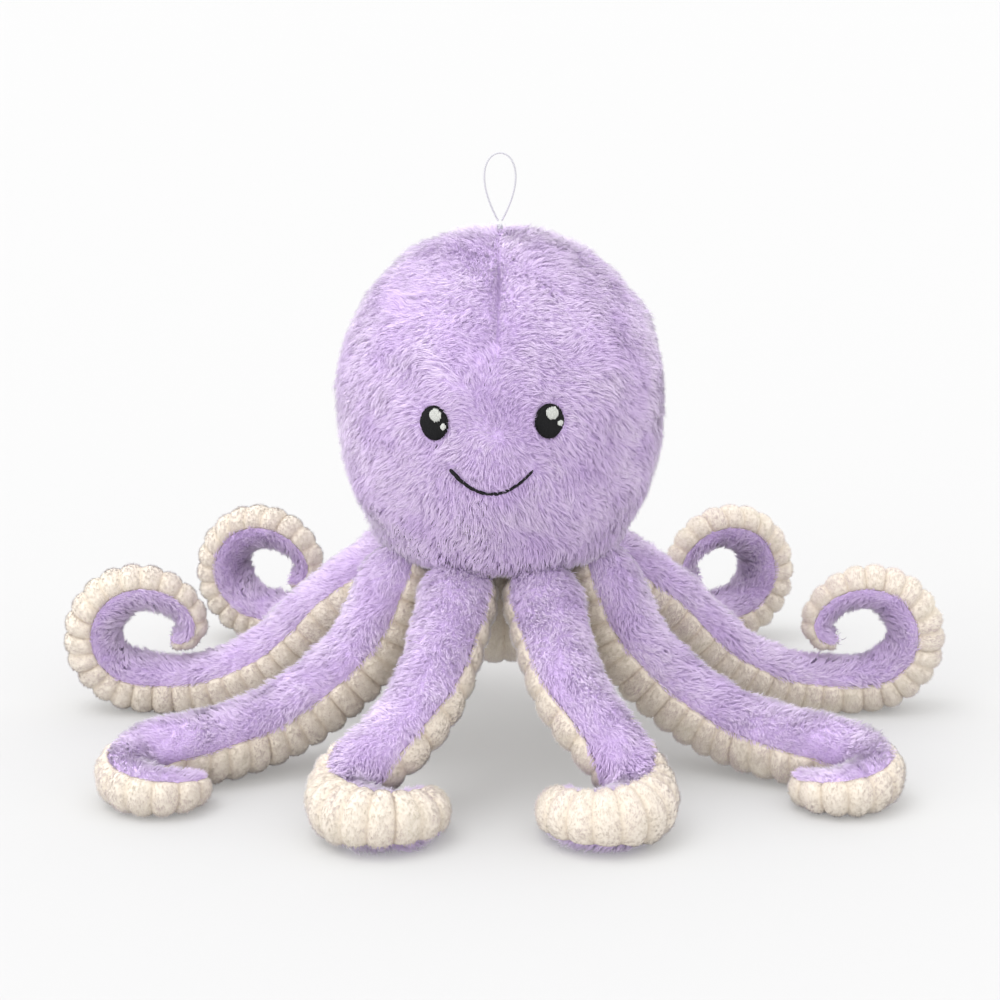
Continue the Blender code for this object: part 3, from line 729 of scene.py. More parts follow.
def long_pile(name, roots, normals, combs, lengths, lean, density, random):
    """Lilac pile: strands that lean along the comb direction and gather into tufts at their tips."""
    count = len(roots)
    guides = nearest_guides(roots, density * 1e4 * TUFT_SPACING ** 2, random)
    tuft_turn = random.normal(0.0, TUFT_SPREAD["turn"], count)[guides]
    tuft_lean = random.normal(0.0, TUFT_SPREAD["lean"], count)[guides]
    tuft_length = random.uniform(*TUFT_SPREAD["lengths"], count)[guides]
    tuft_tone = random.uniform(0.0, 1.0, count)[guides]
    combs = turned(combs, normals, tuft_turn + random.normal(0.0, STRAND_SPREAD["turn"], count))
    lean = lean + tuft_lean + random.normal(0.0, STRAND_SPREAD["lean"], count)
    fold = lean + random.normal(*STRAND_FOLD, count)
    lengths = lengths * tuft_length * random.uniform(*STRAND_SPREAD["lengths"], count)
    first = leaning(normals, combs, lean)
    second = leaning(normals, combs, fold)
    middles = roots + first * (0.5 * lengths)[:, None]
    tips = middles + second * (0.5 * lengths)[:, None]
    pull = TUFT_PULL * random.uniform(*PULL_RANGE, count)[:, None]
    middles = middles + (middles[guides] - middles) * MIDDLE_PULL * pull
    tips = tips + (tips[guides] - tips) * pull
    spins = random.uniform(0.0, 2.0 * math.pi, count)
    radii = LILAC_STRAND_RADIUS * random.uniform(*STRAND_SPREAD["radii"], count)
    low = round_corners(roots - first * ROOT_SINK, first, radii, spins)
    high = round_corners(middles, unit(tips - roots), radii * MIDDLE_RADIUS, spins)
    corners = np.concatenate((low, high, tips[:, None, :]), axis=1)
    corners[:, :, 2] = np.maximum(corners[:, :, 2], FLOOR_GAP)
    own_tone = random.uniform(0.0, 1.0, count)
    tones = np.clip(TUFT_TONE_SHARE * tuft_tone + (1.0 - TUFT_TONE_SHARE) * own_tone, 0.0, 1.0)
    return add_strands(name, LONG_STRAND, corners, normals, tones, "lilac_pile")


def short_pile(name, roots, normals, combs, lengths, random):
    """Cream pile: short strands that lie along the comb direction."""
    count = len(roots)
    lean = random.normal(*CREAM_SPREAD["lean"], count)
    combs = turned(combs, normals, random.normal(0.0, CREAM_SPREAD["turn"], count))
    ahead = leaning(normals, combs, lean)
    lengths = lengths * random.uniform(*CREAM_SPREAD["lengths"], count)
    spins = random.uniform(0.0, 2.0 * math.pi, count)
    radii = CREAM_STRAND_RADIUS * random.uniform(*CREAM_SPREAD["radii"], count)
    low = round_corners(roots - ahead * CREAM_ROOT_SINK, ahead, radii, spins)
    tips = roots + ahead * lengths[:, None]
    corners = np.concatenate((low, tips[:, None, :]), axis=1)
    corners[:, :, 2] = np.maximum(corners[:, :, 2], FLOOR_GAP)
    tones = random.uniform(0.0, 1.0, count)
    return add_strands(name, SHORT_STRAND, corners, normals, tones, "cream_pile")


# ---------------------------------------------------------------- camera, floor and light

def add_camera():
    """The camera, which looks a little down at the middle of the toy."""
    camera = placed("camera", bpy.data.cameras.new("camera"))
    camera.data.lens = CAMERA_LENS_MM
    elevation = math.radians(CAMERA_ELEVATION_DEG)
    target = Vector(FRAME_SHIFT) + Vector((0.0, 0.0, CAMERA_TARGET_Z))
    back = Vector((0.0, -math.cos(elevation), math.sin(elevation)))
    camera.location = target + back * CAMERA_DISTANCE
    camera.rotation_euler = (-back).to_track_quat("-Z", "Y").to_euler()
    bpy.context.scene.camera = camera


def add_floor():
    """A plain pale floor that glows faintly by itself, as if it were lit from all round: painted light that
    lightens the shadow under the toy and lights its underside.
    """
    mesh = bpy.data.meshes.new("floor")
    half = FLOOR_HALF_SIDE
    mesh.from_pydata([(-half, -half, 0.0), (half, -half, 0.0), (half, half, 0.0), (-half, half, 0.0)],
                     [], [(0, 1, 2, 3)])
    floor = placed("floor", mesh)
    material, _, _, principled = new_material("floor")
    principled.inputs["Base Color"].default_value = (FLOOR_GREY, FLOOR_GREY, FLOOR_GREY, 1.0)
    principled.inputs["Roughness"].default_value = 0.9
    principled.inputs["Specular IOR Level"].default_value = 0.1
    # Painted light: the floor's own glow lightens its shadow and lights the toy from below.
    principled.inputs["Emission Color"].default_value = (1.0, 1.0, 1.0, 1.0)
    principled.inputs["Emission Strength"].default_value = FLOOR_GLOW
    mesh.materials.append(material)


def add_light():
    """A white studio: even light from all round, and two wide soft lamps."""
    world = bpy.data.worlds.new("studio")
    world.use_nodes = True
    background = world.node_tree.nodes["Background"]
    background.inputs["Color"].default_value = (1.0, 1.0, 1.0, 1.0)
    background.inputs["Strength"].default_value = WORLD_STRENGTH
    bpy.context.scene.world = world

    for spec in LIGHTS:
        light = placed(spec["name"], bpy.data.lights.new(spec["name"], "SUN"))
        light.data.energy = spec["energy"]
        light.data.angle = math.radians(spec["angle_deg"])
        light.rotation_euler = Vector(spec["from"]).to_track_quat("Z", "Y").to_euler()
    bpy.context.scene.view_settings.view_transform = "Standard"


# ---------------------------------------------------------------- hanging loop

def loop_points():
    """A teardrop that starts and ends at the crown, side by side."""
    points = []
    for angle in np.linspace(LOOP_START_ANGLE, 2.0 * math.pi - LOOP_START_ANGLE, LOOP_POINTS):
        x = -0.5 * LOOP_WIDTH * math.sin(angle) * math.sin(angle / 2.0) / LOOP_WIDEST
        rise = (math.cos(LOOP_START_ANGLE) - math.cos(angle)) / (math.cos(LOOP_START_ANGLE) + 1.0)
        points.append(np.array((x, 0.0, LOOP_BASE_Z + (LOOP_TOP_Z - LOOP_BASE_Z) * rise)) + FRAME_SHIFT)
    return np.array(points)


def add_line(name, points, radius, material, resolution):
    """A round cord along one open line of points."""
    curve = bpy.data.curves.new(name, "CURVE")
    curve.dimensions = "3D"
    curve.bevel_depth = radius
    curve.bevel_resolution = resolution
    curve.use_fill_caps = True
    spline = curve.splines.new("POLY")
    spline.points.add(len(points) - 1)
    for spline_point, point in zip(spline.points, points):
        spline_point.co = (*point, 1.0)
    spline.use_smooth = True
    curve.materials.append(MATERIALS[material])
    return placed(name, curve)


def add_hanging_loop():
    """The cord that the toy hangs by, from end to end."""
    points = loop_points()
    loop = add_line("hang_loop_cord", points, LOOP_CORD_RADIUS, "cord", resolution=6)
    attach(loop, "loop")
    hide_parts("hang_loop")


def add_loop_knot():
    """A trefoil of the same cord, under the loop's two ends."""
    turns = np.linspace(0.0, 2.0 * math.pi, KNOT_POINTS)
    knot = np.stack((np.sin(turns) + 2.0 * np.sin(2.0 * turns),
                     np.cos(turns) - 2.0 * np.cos(2.0 * turns),
                     -1.6 * np.sin(3.0 * turns)), axis=1)
    knot = knot * KNOT_SCALE + FRAME_SHIFT + (0.0, 0.0, KNOT_Z)
    thread = add_line("loop_knot_thread", knot, LOOP_CORD_RADIUS, "cord", resolution=4)
    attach(thread, "body")
    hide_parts("loop_knot")


# ---------------------------------------------------------------- head

def smooth_curve(points, samples):
    """A centripetal Catmull-Rom curve through the points, as evenly spaced samples."""
    points = np.asarray(points, float)
    spaced = np.vstack((2.0 * points[:1] - points[1:2], points, 2.0 * points[-1:] - points[-2:-1]))
    steps = np.linalg.norm(np.diff(spaced[:, :3], axis=0), axis=1)
    knots = np.concatenate(([0.0], np.cumsum(np.sqrt(steps))))
    dense = []
    for i in range(1, len(spaced) - 2):
        t0, t1, t2, t3 = knots[i - 1:i + 3]
        for t in np.linspace(t1, t2, STRETCH_SAMPLES, endpoint=False):
            a1 = (t1 - t) / (t1 - t0) * spaced[i - 1] + (t - t0) / (t1 - t0) * spaced[i]
            a2 = (t2 - t) / (t2 - t1) * spaced[i] + (t - t1) / (t2 - t1) * spaced[i + 1]
            a3 = (t3 - t) / (t3 - t2) * spaced[i + 1] + (t - t2) / (t3 - t2) * spaced[i + 2]
            b1 = (t2 - t) / (t2 - t0) * a1 + (t - t0) / (t2 - t0) * a2
            b2 = (t3 - t) / (t3 - t1) * a2 + (t - t1) / (t3 - t1) * a3
            dense.append((t2 - t) / (t2 - t1) * b1 + (t - t1) / (t2 - t1) * b2)
    dense = np.array(dense + [points[-1]])
    along = np.concatenate(([0.0], np.cumsum(np.linalg.norm(np.diff(dense[:, :3], axis=0), axis=1))))
    even = np.linspace(0.0, along[-1], samples)
    columns = [np.interp(even, along, dense[:, k]) for k in range(dense.shape[1])]
    return np.stack(columns, axis=1), along[-1]


def head_outline(angle, proud):
    """(radius, z) of the head at this angle from the crown, moved outwards. Its lower half is fuller."""
    fullness = 1.0 if angle < math.pi / 2.0 else HEAD_JAW_POWER
    radius = (HEAD_RADIUS + proud) * math.sin(angle) ** fullness
    return radius, HEAD_CENTRE_Z + (HEAD_HALF_HEIGHT + proud) * math.cos(angle)


def on_head(azimuth_deg, elevation_deg, proud):
    """The point this far out of the head's outline, in a direction from the head's middle."""
    radius, z = head_outline(math.radians(90.0 - elevation_deg), proud)
    azimuth = math.radians(azimuth_deg)
    return np.array((radius * math.sin(azimuth), -radius * math.cos(azimuth), z)) + FRAME_SHIFT


def head_direction(azimuth_deg, elevation_deg):
    """The unit vector out of the head in this direction."""
    azimuth = math.radians(azimuth_deg)
    elevation = math.radians(elevation_deg)
    return np.array((math.sin(azimuth) * math.cos(elevation), -math.cos(azimuth) * math.cos(elevation),
                     math.sin(elevation)))


def seam_depths(elevations, azimuths):
    """How far the cloth is drawn in at each place by the forehead dart and by the sewn seams."""
    depth = np.zeros(azimuths.shape)
    reach = np.cos(np.radians(elevations)) * HEAD_RADIUS
    for seam, full, width in HEAD_SEAMS:
        aside = np.abs((azimuths - SEAM_AZIMUTH_DEG - seam + 180.0) % 360.0 - 180.0)
        groove = full * np.exp(-np.radians(aside) * reach / width)
        if seam == 0.0:
            groove = groove * np.clip((elevations - DART_END_ELEVATION_DEG + 1.0) / DART_FADE_DEG, 0.0, 1.0)
        depth = np.maximum(depth, groove)
    return depth * np.clip((SEAM_TOP_ELEVATION_DEG - elevations) / SEAM_FADE_DEG, 0.0, 1.0)


def spun(profile, turn):
    """The grid that a profile of (radius, 0, z) makes at each angle of a turn about the upright axis."""
    radius, height = profile[:, :1], profile[:, 2:]
    return np.stack((radius * np.sin(turn), -radius * np.cos(turn),
                     np.repeat(height, len(turn), axis=1)), axis=2) + FRAME_SHIFT


def head_grid():
    """(points, elevations, azimuths) of the head's skin before it is filled."""
    angles = np.radians(np.linspace(2.0, HEAD_PROFILE_END_DEG, HEAD_OUTLINE_POINTS))
    profile = [head_outline(angle, -HEAD_PILE) for angle in angles] + list(HEAD_NECK)
    profile = np.array([(radius, 0.0, z) for radius, z in profile])
    profile, _ = smooth_curve(profile, HEAD_RINGS)
    azimuths = SEAM_AZIMUTH_DEG + 360.0 * np.arange(HEAD_COLUMNS) / HEAD_COLUMNS
    grid = spun(profile, np.radians(azimuths))
    elevations = np.degrees(np.arctan2(profile[:, 2] - HEAD_CENTRE_Z, profile[:, 0]))
    elevations, azimuths = np.meshgrid(elevations, azimuths, indexing="ij")
    return grid, elevations, azimuths


def grid_normals(grid):
    """Outward normals of a grid that wraps in its second direction."""
    down = np.gradient(grid, axis=0)
    around = np.roll(grid, -1, axis=1) - np.roll(grid, 1, axis=1)
    return unit(np.cross(down, around))


def filled(grid, pinned, most, name):
    """The grid as cloth that is pinned at its seams and blown out by its filling."""
    points, faces = bag(grid)
    skin = add_mesh(name, points, faces, "lilac_cloth")
    group = skin.vertex_groups.new(name="pinned")
    fixed = [int(i) for i in np.flatnonzero(pinned.ravel())] + [len(points) - 2, len(points) - 1]
    group.add(fixed, 1.0, "REPLACE")
    cloth = skin.modifiers.new("cloth", "CLOTH")
    cloth.settings.vertex_group_mass = "pinned"
    cloth.settings.use_pressure = True
    cloth.settings.uniform_pressure_force = FILLING_PRESSURE
    cloth.settings.effector_weights.gravity = 0.0
    cloth.settings.tension_stiffness = FILLING_STIFFNESS
    cloth.settings.compression_stiffness = FILLING_STIFFNESS
    cloth.settings.shear_stiffness = FILLING_SHEAR
    cloth.settings.quality = FILLING_QUALITY
    cloth.settings.mass = FILLING_CLOTH_MASS
    for step in range(1, FILLING_FRAMES + 1):
        bpy.context.scene.frame_set(step)
    evaluated = skin.evaluated_get(bpy.context.evaluated_depsgraph_get())
    moved = np.empty(len(points) * 3)
    evaluated.data.vertices.foreach_get("co", moved)
    bpy.data.objects.remove(skin)
    bpy.context.scene.frame_set(1)
    moved = moved.reshape(-1, 3)[:-2].reshape(grid.shape) - grid
    distance = np.linalg.norm(moved, axis=2, keepdims=True)
    return grid + moved * np.minimum(1.0, most / np.maximum(distance, 1e-9))


def head_skin():
    """The head's cloth, sewn, darted and filled: (grid, normals, azimuths)."""
    grid, elevations, azimuths = head_grid()
    normals = grid_normals(grid)
    depth = seam_depths(elevations, azimuths)
    lumps = HEAD_LUMP_HEIGHT * wavy(grid.reshape(-1, 3), *HEAD_LUMPS).reshape(depth.shape)
    grid = grid - normals * (depth - lumps)[:, :, None]
    pinned = depth > PINNED_DEPTH
    pinned[-PINNED_NECK_RINGS:] = True
    pinned[:PINNED_CROWN_RINGS] = True
    grid = filled(grid, pinned, FILLING_MOST, "head_skin_in_filling")
    grid = grid - grid_normals(grid) * brow_creases(elevations, azimuths)[:, :, None]
    return grid, grid_normals(grid), azimuths


def brow_creases(elevations, azimuths):
    """Two short folds that run out sideways from the end of the forehead dart."""
    depth = np.zeros(azimuths.shape)
    around = (azimuths - SEAM_AZIMUTH_DEG + 180.0) % 360.0 - 180.0
    for side, rise in BROW_CREASES:
        out = side * around
        line = DART_END_ELEVATION_DEG + BROW_CREASE_START_DEG + rise * out
        fold = np.exp(-((elevations - line) / BROW_CREASE_WIDTH_DEG) ** 2)
        fold = fold * np.clip(1.0 - out / BROW_CREASE_LENGTH_DEG, 0.0, 1.0) * (out > 0.0)
        depth = np.maximum(depth, BROW_CREASE_DEPTH * fold)
    return depth


def scatter_on_grid(grid, normals, density, random):
    """(places, normals, column) of points spread evenly over a grid that wraps."""
    beside = np.roll(grid, -1, axis=1)
    area = np.linalg.norm(np.cross(grid[1:] - grid[:-1], beside[:-1] - grid[:-1]), axis=2)
    count = int(area.sum() * 1e4 * density)
    order = np.cumsum(area.ravel())
    chosen = np.searchsorted(order, (np.arange(count) + random.uniform(0.0, 1.0, count)) / count * order[-1])
    chosen = np.minimum(chosen, area.size - 1)
    row, column = chosen // grid.shape[1], chosen % grid.shape[1]
    after = (column + 1) % grid.shape[1]
    u, v = random.uniform(0.0, 1.0, (2, count, 1))
    places, facing = [
        (1 - u) * (1 - v) * field[row, column] + (1 - u) * v * field[row, after]
        + u * (1 - v) * field[row + 1, column] + u * v * field[row + 1, after]
        for field in (grid, normals)
    ]
    return places, unit(facing), column


def eye_centre(side_name):
    """(azimuth, elevation) of the eye's middle, in degrees."""
    side = -1 if side_name == "left" else 1
    return FACE_AZIMUTH_DEG + side * EYE_AZIMUTH_DEG, EYE_ELEVATION_DEG[side_name]


def face_axes(azimuth_deg, elevation_deg):
    """(across, up, outward) unit vectors of a patch on the face."""
    outward = head_direction(azimuth_deg, elevation_deg)
    across = unit(np.cross(UP, outward))
    return across, np.cross(outward, across), outward


def smile_line(count, proud):
    """This many points along the smile, this far out of the head's outline."""
    points = []
    for share in np.linspace(-1.0, 1.0, count):
        azimuth = FACE_AZIMUTH_DEG + share * SMILE_HALF_AZIMUTH_DEG
        elevation = SMILE_END_ELEVATION_DEG - SMILE_SAG_DEG * (1.0 - share * share)
        points.append(on_head(azimuth, elevation, proud))
    return np.array(points)


def clear_of_face(places):
    """(distance, direction) from each place to the nearest edge of an eye or of the smile."""
    best = np.full(len(places), BEHIND_FACE)
    towards = np.zeros((len(places), 3))
    for side_name in ("left", "right"):
        azimuth, elevation = eye_centre(side_name)
        across, up, outward = face_axes(azimuth, elevation)
        away = on_head(azimuth, elevation, -HEAD_PILE) - places
        x, y = away @ across, away @ up
        reach = np.sqrt((x / EYE_HALF_SIZE[0]) ** 2 + (y / EYE_HALF_SIZE[1]) ** 2)
        near = np.linalg.norm(away, axis=1) * (1.0 - 1.0 / np.maximum(reach, 1e-6))
        near = np.where(reach < 1.0, -FACE_CLEARANCE, near)
        near = np.where(away @ outward > HEAD_RADIUS, BEHIND_FACE, near)
        closer = near < best
        best = np.where(closer, near, best)
        towards = np.where(closer[:, None], away, towards)
    line = smile_line(SMILE_MARKS, -HEAD_PILE)
    away = line[None, :, :] - places[:, None, :]
    distance = np.linalg.norm(away, axis=2)
    nearest = distance.argmin(axis=1)
    edge = distance.min(axis=1) - SMILE_RADIUS
    closer = edge < best
    best = np.where(closer, edge, best)
    towards = np.where(closer[:, None], away[np.arange(len(places)), nearest], towards)
    return best, unit(towards)


def head_comb(places, normals):
    """Which way the pile lies on the head: out from the face's middle, away from the dart, then down."""
    middle = on_head(*FACE_CENTRE_DEG, -HEAD_PILE)
    outward = unit(places - (FRAME_SHIFT + (0.0, 0.0, HEAD_CENTRE_Z)))
    angle = np.arccos(np.clip(outward @ head_direction(*FACE_CENTRE_DEG), -1.0, 1.0))
    strength = HEAD_COMB["from_face"] * np.exp(-(angle / HEAD_COMB["face_reach"]) ** 2)
    from_face = flat_on(places - middle, normals) * strength[:, None]
    strength = np.minimum(HEAD_COMB["down_least"] + HEAD_COMB["down_growth"] * angle, HEAD_COMB["down_most"])
    down = flat_on(np.tile(-UP, (len(places), 1)), normals) * strength[:, None]
    aside = places[:, 0] - FRAME_SHIFT[0] - HEAD_RADIUS * math.sin(math.radians(SEAM_AZIMUTH_DEG))
    start = math.sin(math.radians(DART_END_ELEVATION_DEG - HEAD_COMB["dart_start_deg"]))
    front = np.clip((outward[:, 2] - start) / HEAD_COMB["dart_fade"], 0.0, 1.0)
    front = front * (outward[:, 1] < HEAD_COMB["dart_back"])
    sideways = np.zeros_like(places)
    near_dart = np.exp(-(aside / HEAD_COMB["dart_reach"]) ** 2)
    sideways[:, 0] = np.sign(aside) * near_dart * front * HEAD_COMB["from_dart"]
    comb = unit(from_face + down + sideways)
    return flat_on(comb, normals)


def dart_distance(places):
    """How far each place is to the right of the forehead dart, and 1 m where it is not beside it."""
    outward = places - (FRAME_SHIFT + (0.0, 0.0, HEAD_CENTRE_Z))
    turn = math.radians(SEAM_AZIMUTH_DEG)
    aside = outward[:, 0] * math.cos(turn) + outward[:, 1] * math.sin(turn)
    beside = (outward[:, 2] > 0.95 * HEAD_HALF_HEIGHT * math.sin(math.radians(DART_END_ELEVATION_DEG)))
    return np.where(beside & (outward[:, 1] < 0.0), aside, 1.0)


def add_head_fur(grid, normals, azimuths):
    """The pile of the head, in quarters: it parts at the dart and lies away from the face."""
    random = np.random.default_rng(SEED + HEAD_FUR_SEED)
    density = HEAD_STRANDS_PER_CM2
    places, facing, column = scatter_on_grid(grid, normals, density, random)
    edge, towards = clear_of_face(places)
    keep = edge > FACE_CLEARANCE
    places, facing, column, edge, towards = [x[keep] for x in (places, facing, column, edge, towards)]
    combs = swirled(head_comb(places, facing), places, facing, HEAD_SWIRLS)
    from_dart = dart_distance(places)
    from_parting = np.clip(np.abs(from_dart) / PARTING, 0.0, 1.0)
    apart = np.zeros_like(combs)
    apart[:, 0] = np.sign(from_dart) * PARTING_COMB * (1.0 - from_parting)
    combs = flat_on(combs + apart, facing)
    near_face = np.clip(1.0 - edge / FACE_COMB_REACH, 0.0, 1.0)[:, None]
    combs = flat_on(combs - towards * near_face * FACE_COMB, facing)
    lengths = HEAD_STRAND_LENGTH * (1.0 + LENGTH_WAVE * wavy(places, *HEAD_LENGTH_WAVES))
    pointing = (combs * towards).sum(axis=1)
    limit = np.maximum(FACE_SHORTEST, edge * FACE_LENGTH_GROWTH + FACE_OVERHANG)
    lengths = np.where(pointing > FACE_POINTING, np.minimum(lengths, limit), lengths)
    lengths = np.where(edge < FACE_RIM, np.minimum(lengths, FACE_RIM_LENGTH), lengths)
    lengths = lengths * (PARTING_LENGTH_SHARE + (1.0 - PARTING_LENGTH_SHARE) * from_parting)
    quarter = ((azimuths[0, column] - SEAM_AZIMUTH_DEG) % 360.0 // 90.0).astype(int)
    for index, label in enumerate(("front_right", "back_right", "back_left", "front_left")):
        mine = quarter == index
        fur = long_pile("head_" + label + "_pile", places[mine], facing[mine], combs[mine], lengths[mine],
                        HEAD_LEAN, density, random)
        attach(fur, "body")


def add_head():
    """The three panels that the head is sewn from, the pile on them and the fibre inside."""
    grid, normals, azimuths = head_skin()
    quarter = HEAD_COLUMNS // 4
    panels = (
        ("head_front_cloth", -quarter, quarter, "head_front_panel"),
        ("head_back_right_cloth", quarter, 2 * quarter, "head_back_right_panel"),
        ("head_back_left_cloth", 2 * quarter, 3 * quarter, "head_back_left_panel"),
    )
    for name, first, last, node in panels:
        columns = np.arange(first, last + 1) % HEAD_COLUMNS
        cloth = add_cloth(name, grid[:, columns], "lilac_cloth")
        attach(cloth, "body")
        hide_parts(node)
    add_head_fur(grid, normals, azimuths)
    add_head_fill(grid, normals)


def add_head_fill(grid, normals):
    """The loose fibre inside the head, a little lumpy."""
    inner = grid - normals * FILL_DEPTH
    lumps = wavy(inner.reshape(-1, 3), *FILL_LUMPS).reshape(grid.shape[:2])
    inner = inner - normals * (FILL_SINK + FILL_LUMP_HEIGHT * lumps[:, :, None])
    points, faces = bag(inner[::FILL_STRIDE, ::FILL_STRIDE])
    fill = add_mesh("head_fibre_fill", points, faces, "fibre")
    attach(fill, "body")
    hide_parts("head_and_body_stuffing")


# ---------------------------------------------------------------- face

def add_thread(points, faces, middles, outward, widths, heights):
    """Adds one closed thread along the middles, with an oval section at each, to the points and faces."""
    first = len(points)
    alongs = unit(np.gradient(middles, axis=0))
    acrosses = unit(np.cross(outward, alongs))
    for middle, along, across, width, height in zip(middles, alongs, acrosses, widths, heights):
        over = np.cross(along, across)
        for side in range(THREAD_SIDES):
            turn = 2.0 * math.pi * side / THREAD_SIDES
            points.append(middle + across * width * math.cos(turn) - over * height * math.sin(turn))
    faces.extend(tuple(first + corner for corner in face) for face in tube_faces(len(middles), THREAD_SIDES))


def satin_patch(name, centre, axes, half, lift, material, random):
    """Satin stitch: threads side by side over a padded oval, with an uneven edge."""
    across, up, outward = axes
    points, faces = [], []
    count = max(5, int(round(2.0 * half[0] / SATIN_PITCH)))
    share = np.linspace(-1.0, 1.0, SATIN_STEPS)
    ending = SATIN_PITCH * np.maximum(np.sqrt(1.0 - share ** 6), SATIN_THREAD["least_end"])
    for thread in range(count):
        x = (thread + 0.5) / count * 2.0 - 1.0
        reach = math.sqrt(1.0 - 0.985 * x * x) * half[1]
        low, high = reach + SATIN_PITCH * random.uniform(*SATIN_UNEVEN_ENDS, 2)
        y = np.interp(share, (-1.0, 1.0), (-low, high))
        rise = lift * np.sqrt(np.clip(1.0 - 0.9 * x * x - 0.75 * share ** 2, 0.0, 1.0))
        rise = rise + SATIN_PITCH * random.uniform(-SATIN_UNEVEN_HEIGHT, SATIN_UNEVEN_HEIGHT)
        middles = centre + across * (x * half[0]) + y[:, None] * up + rise[:, None] * outward
        add_thread(points, faces, middles, outward, SATIN_THREAD["width"] * ending,
                   SATIN_THREAD["height"] * ending)
    return add_mesh(name, points, faces, material)


def add_padding(name, centre, axes, half, lift):
    """The low dome of thread that the satin stitches cover."""
    across, up, outward = axes
    points = []
    for ring in range(1, PADDING_RINGS + 1):
        share = ring / PADDING_RINGS
        for step in range(PADDING_SIDES):
            turn = 2.0 * math.pi * step / PADDING_SIDES
            points.append(centre + across * half[0] * share * math.cos(turn)
                          + up * half[1] * share * math.sin(turn)
                          + outward * lift * math.sqrt(1.0 - 0.8 * share * share))
    points.append(centre + outward * lift)
    faces = grid_faces(PADDING_RINGS, PADDING_SIDES, True)
    faces += [(len(points) - 1, step, (step + 1) % PADDING_SIDES) for step in range(PADDING_SIDES)]
    padding = add_mesh(name, points, faces, "black_thread")
    thicken(padding, PADDING_THICKNESS)
    return padding


def add_eye(side_name):
    """An eye of black satin stitches over padding, with two white highlights on it."""
    random = np.random.default_rng(SEED + EYE_SEEDS[side_name])
    azimuth, elevation = eye_centre(side_name)
    axes = face_axes(azimuth, elevation)
    centre = on_head(azimuth, elevation, -EYE_SINK)
    eye = satin_patch("eye_patch_" + side_name + "_stitches", centre, axes, EYE_HALF_SIZE, EYE_LIFT,
                      "black_thread", random)
    under = centre - axes[2] * 0.5 * SATIN_PITCH
    half = PADDING_SHARE * np.array(EYE_HALF_SIZE)
    padding = add_padding("eye_padding_" + side_name, under, axes, half, EYE_LIFT)
    for piece in (eye, padding):
        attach(piece, "body")
    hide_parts("eye_patch_" + side_name)
    for label, spot in HIGHLIGHTS.items():
        place = centre + axes[0] * spot["across"] + axes[1] * spot["up"] + axes[2] * spot["out"]
        piece = satin_patch(f"eye_highlight_{label}_{side_name}_stitches", place, axes, spot["half"],
                            spot["lift"], "white_thread", random)
        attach(piece, "body")
        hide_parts(f"eye_highlight_{label}_{side_name}")


def add_smile():
    """A line of back stitches, each a short thread that dips into the cloth at its ends."""
    random = np.random.default_rng(SEED + SMILE_SEED)
    line = smile_line(SMILE_STITCHES * STITCH_STEPS + 1, -SMILE_SINK)
    outward = unit(line - (FRAME_SHIFT + (0.0, 0.0, HEAD_CENTRE_Z)))
    points, faces = [], []
    share = np.linspace(-1.0, 1.0, STITCH_STEPS + 3)
    swell = np.sqrt(np.maximum(1.0 - share ** 4, 0.04))
    for stitch in range(SMILE_STITCHES):
        first = max(stitch * STITCH_STEPS - 1, 0)
        last = min(first + STITCH_STEPS + 3, len(line))
        first = last - STITCH_STEPS - 3
        from_left = 1.0 - stitch / (SMILE_STITCHES - 1.0)
        thick = SMILE_RADIUS * (1.0 + SMILE_LEFT_SWELL * from_left) * random.uniform(*STITCH_THICKNESSES)
        thick = thick * swell
        out = outward[first:last]
        middles = line[first:last] + out * (STITCH_DIP * (swell - 1.0))[:, None]
        sideways = unit(np.cross(out, np.gradient(middles, axis=0)))
        slant = random.uniform(-STITCH_SLANT, STITCH_SLANT) * SMILE_RADIUS * share
        middles = middles + sideways * slant[:, None]
        add_thread(points, faces, middles, out, thick, STITCH_FLATNESS * thick)
    smile = add_mesh("smile_back_stitches", points, faces, "black_thread")
    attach(smile, "body")
    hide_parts("smile_stitching")


# ---------------------------------------------------------------- underside of the body

def add_base():
    """The cream panel under the body, ribbed like the undersides of the tentacles."""
    profile = [(BASE_RADIUS, BASE_TOP_Z), (BASE_RADIUS, BASE_BOTTOM_Z + BASE_DOME_HEIGHT)]
    for angle in np.radians(np.linspace(*BASE_DOME_DEG, BASE_DOME_POINTS)):
        profile.append((BASE_RADIUS * math.cos(angle),
                        BASE_BOTTOM_Z + BASE_DOME_HEIGHT * (1.0 - math.sin(angle))))
    profile = np.array([(radius, 0.0, z) for radius, z in profile])
    profile, _ = smooth_curve(profile, BASE_RINGS)
    grid = spun(profile, np.linspace(0.0, 2.0 * math.pi, BASE_COLUMNS, endpoint=False))
    normals = grid_normals(grid)
    crest = np.abs(np.sin(math.pi * grid[:, :, 0] / RIB_PITCH)) ** BASE_RIB_SHARPNESS
    fade = np.clip(-normals[:, :, 2] * 2.0, 0.25, 1.0)
    grid = grid + normals * ((crest - 1.0) * BASE_RIB_HEIGHT * fade)[:, :, None]
    base = add_cloth("body_base_cloth", grid, "cream_ribs", wrap=True)
    # The crest also sets the painted shade: the cream is darker towards the grooves.
    set_attribute(base, "crest", crest)
    random = np.random.default_rng(SEED + BASE_SEED)
    density = CREAM_STRANDS_PER_CM2 * BASE_PILE_SHARE
    places, facing, _ = scatter_on_grid(grid, grid_normals(grid), density, random)
    down = flat_on(np.tile(-UP + BASE_COMB_BACK, (len(places), 1)), facing)
    lengths = np.full(len(places), CREAM_STRAND_LENGTH)
    pile = short_pile("body_base_pile", places, facing, down, lengths, random)
    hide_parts("body_base_panel")
    for piece in (base, pile):
        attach(piece, "body")


# ---------------------------------------------------------------- tentacles

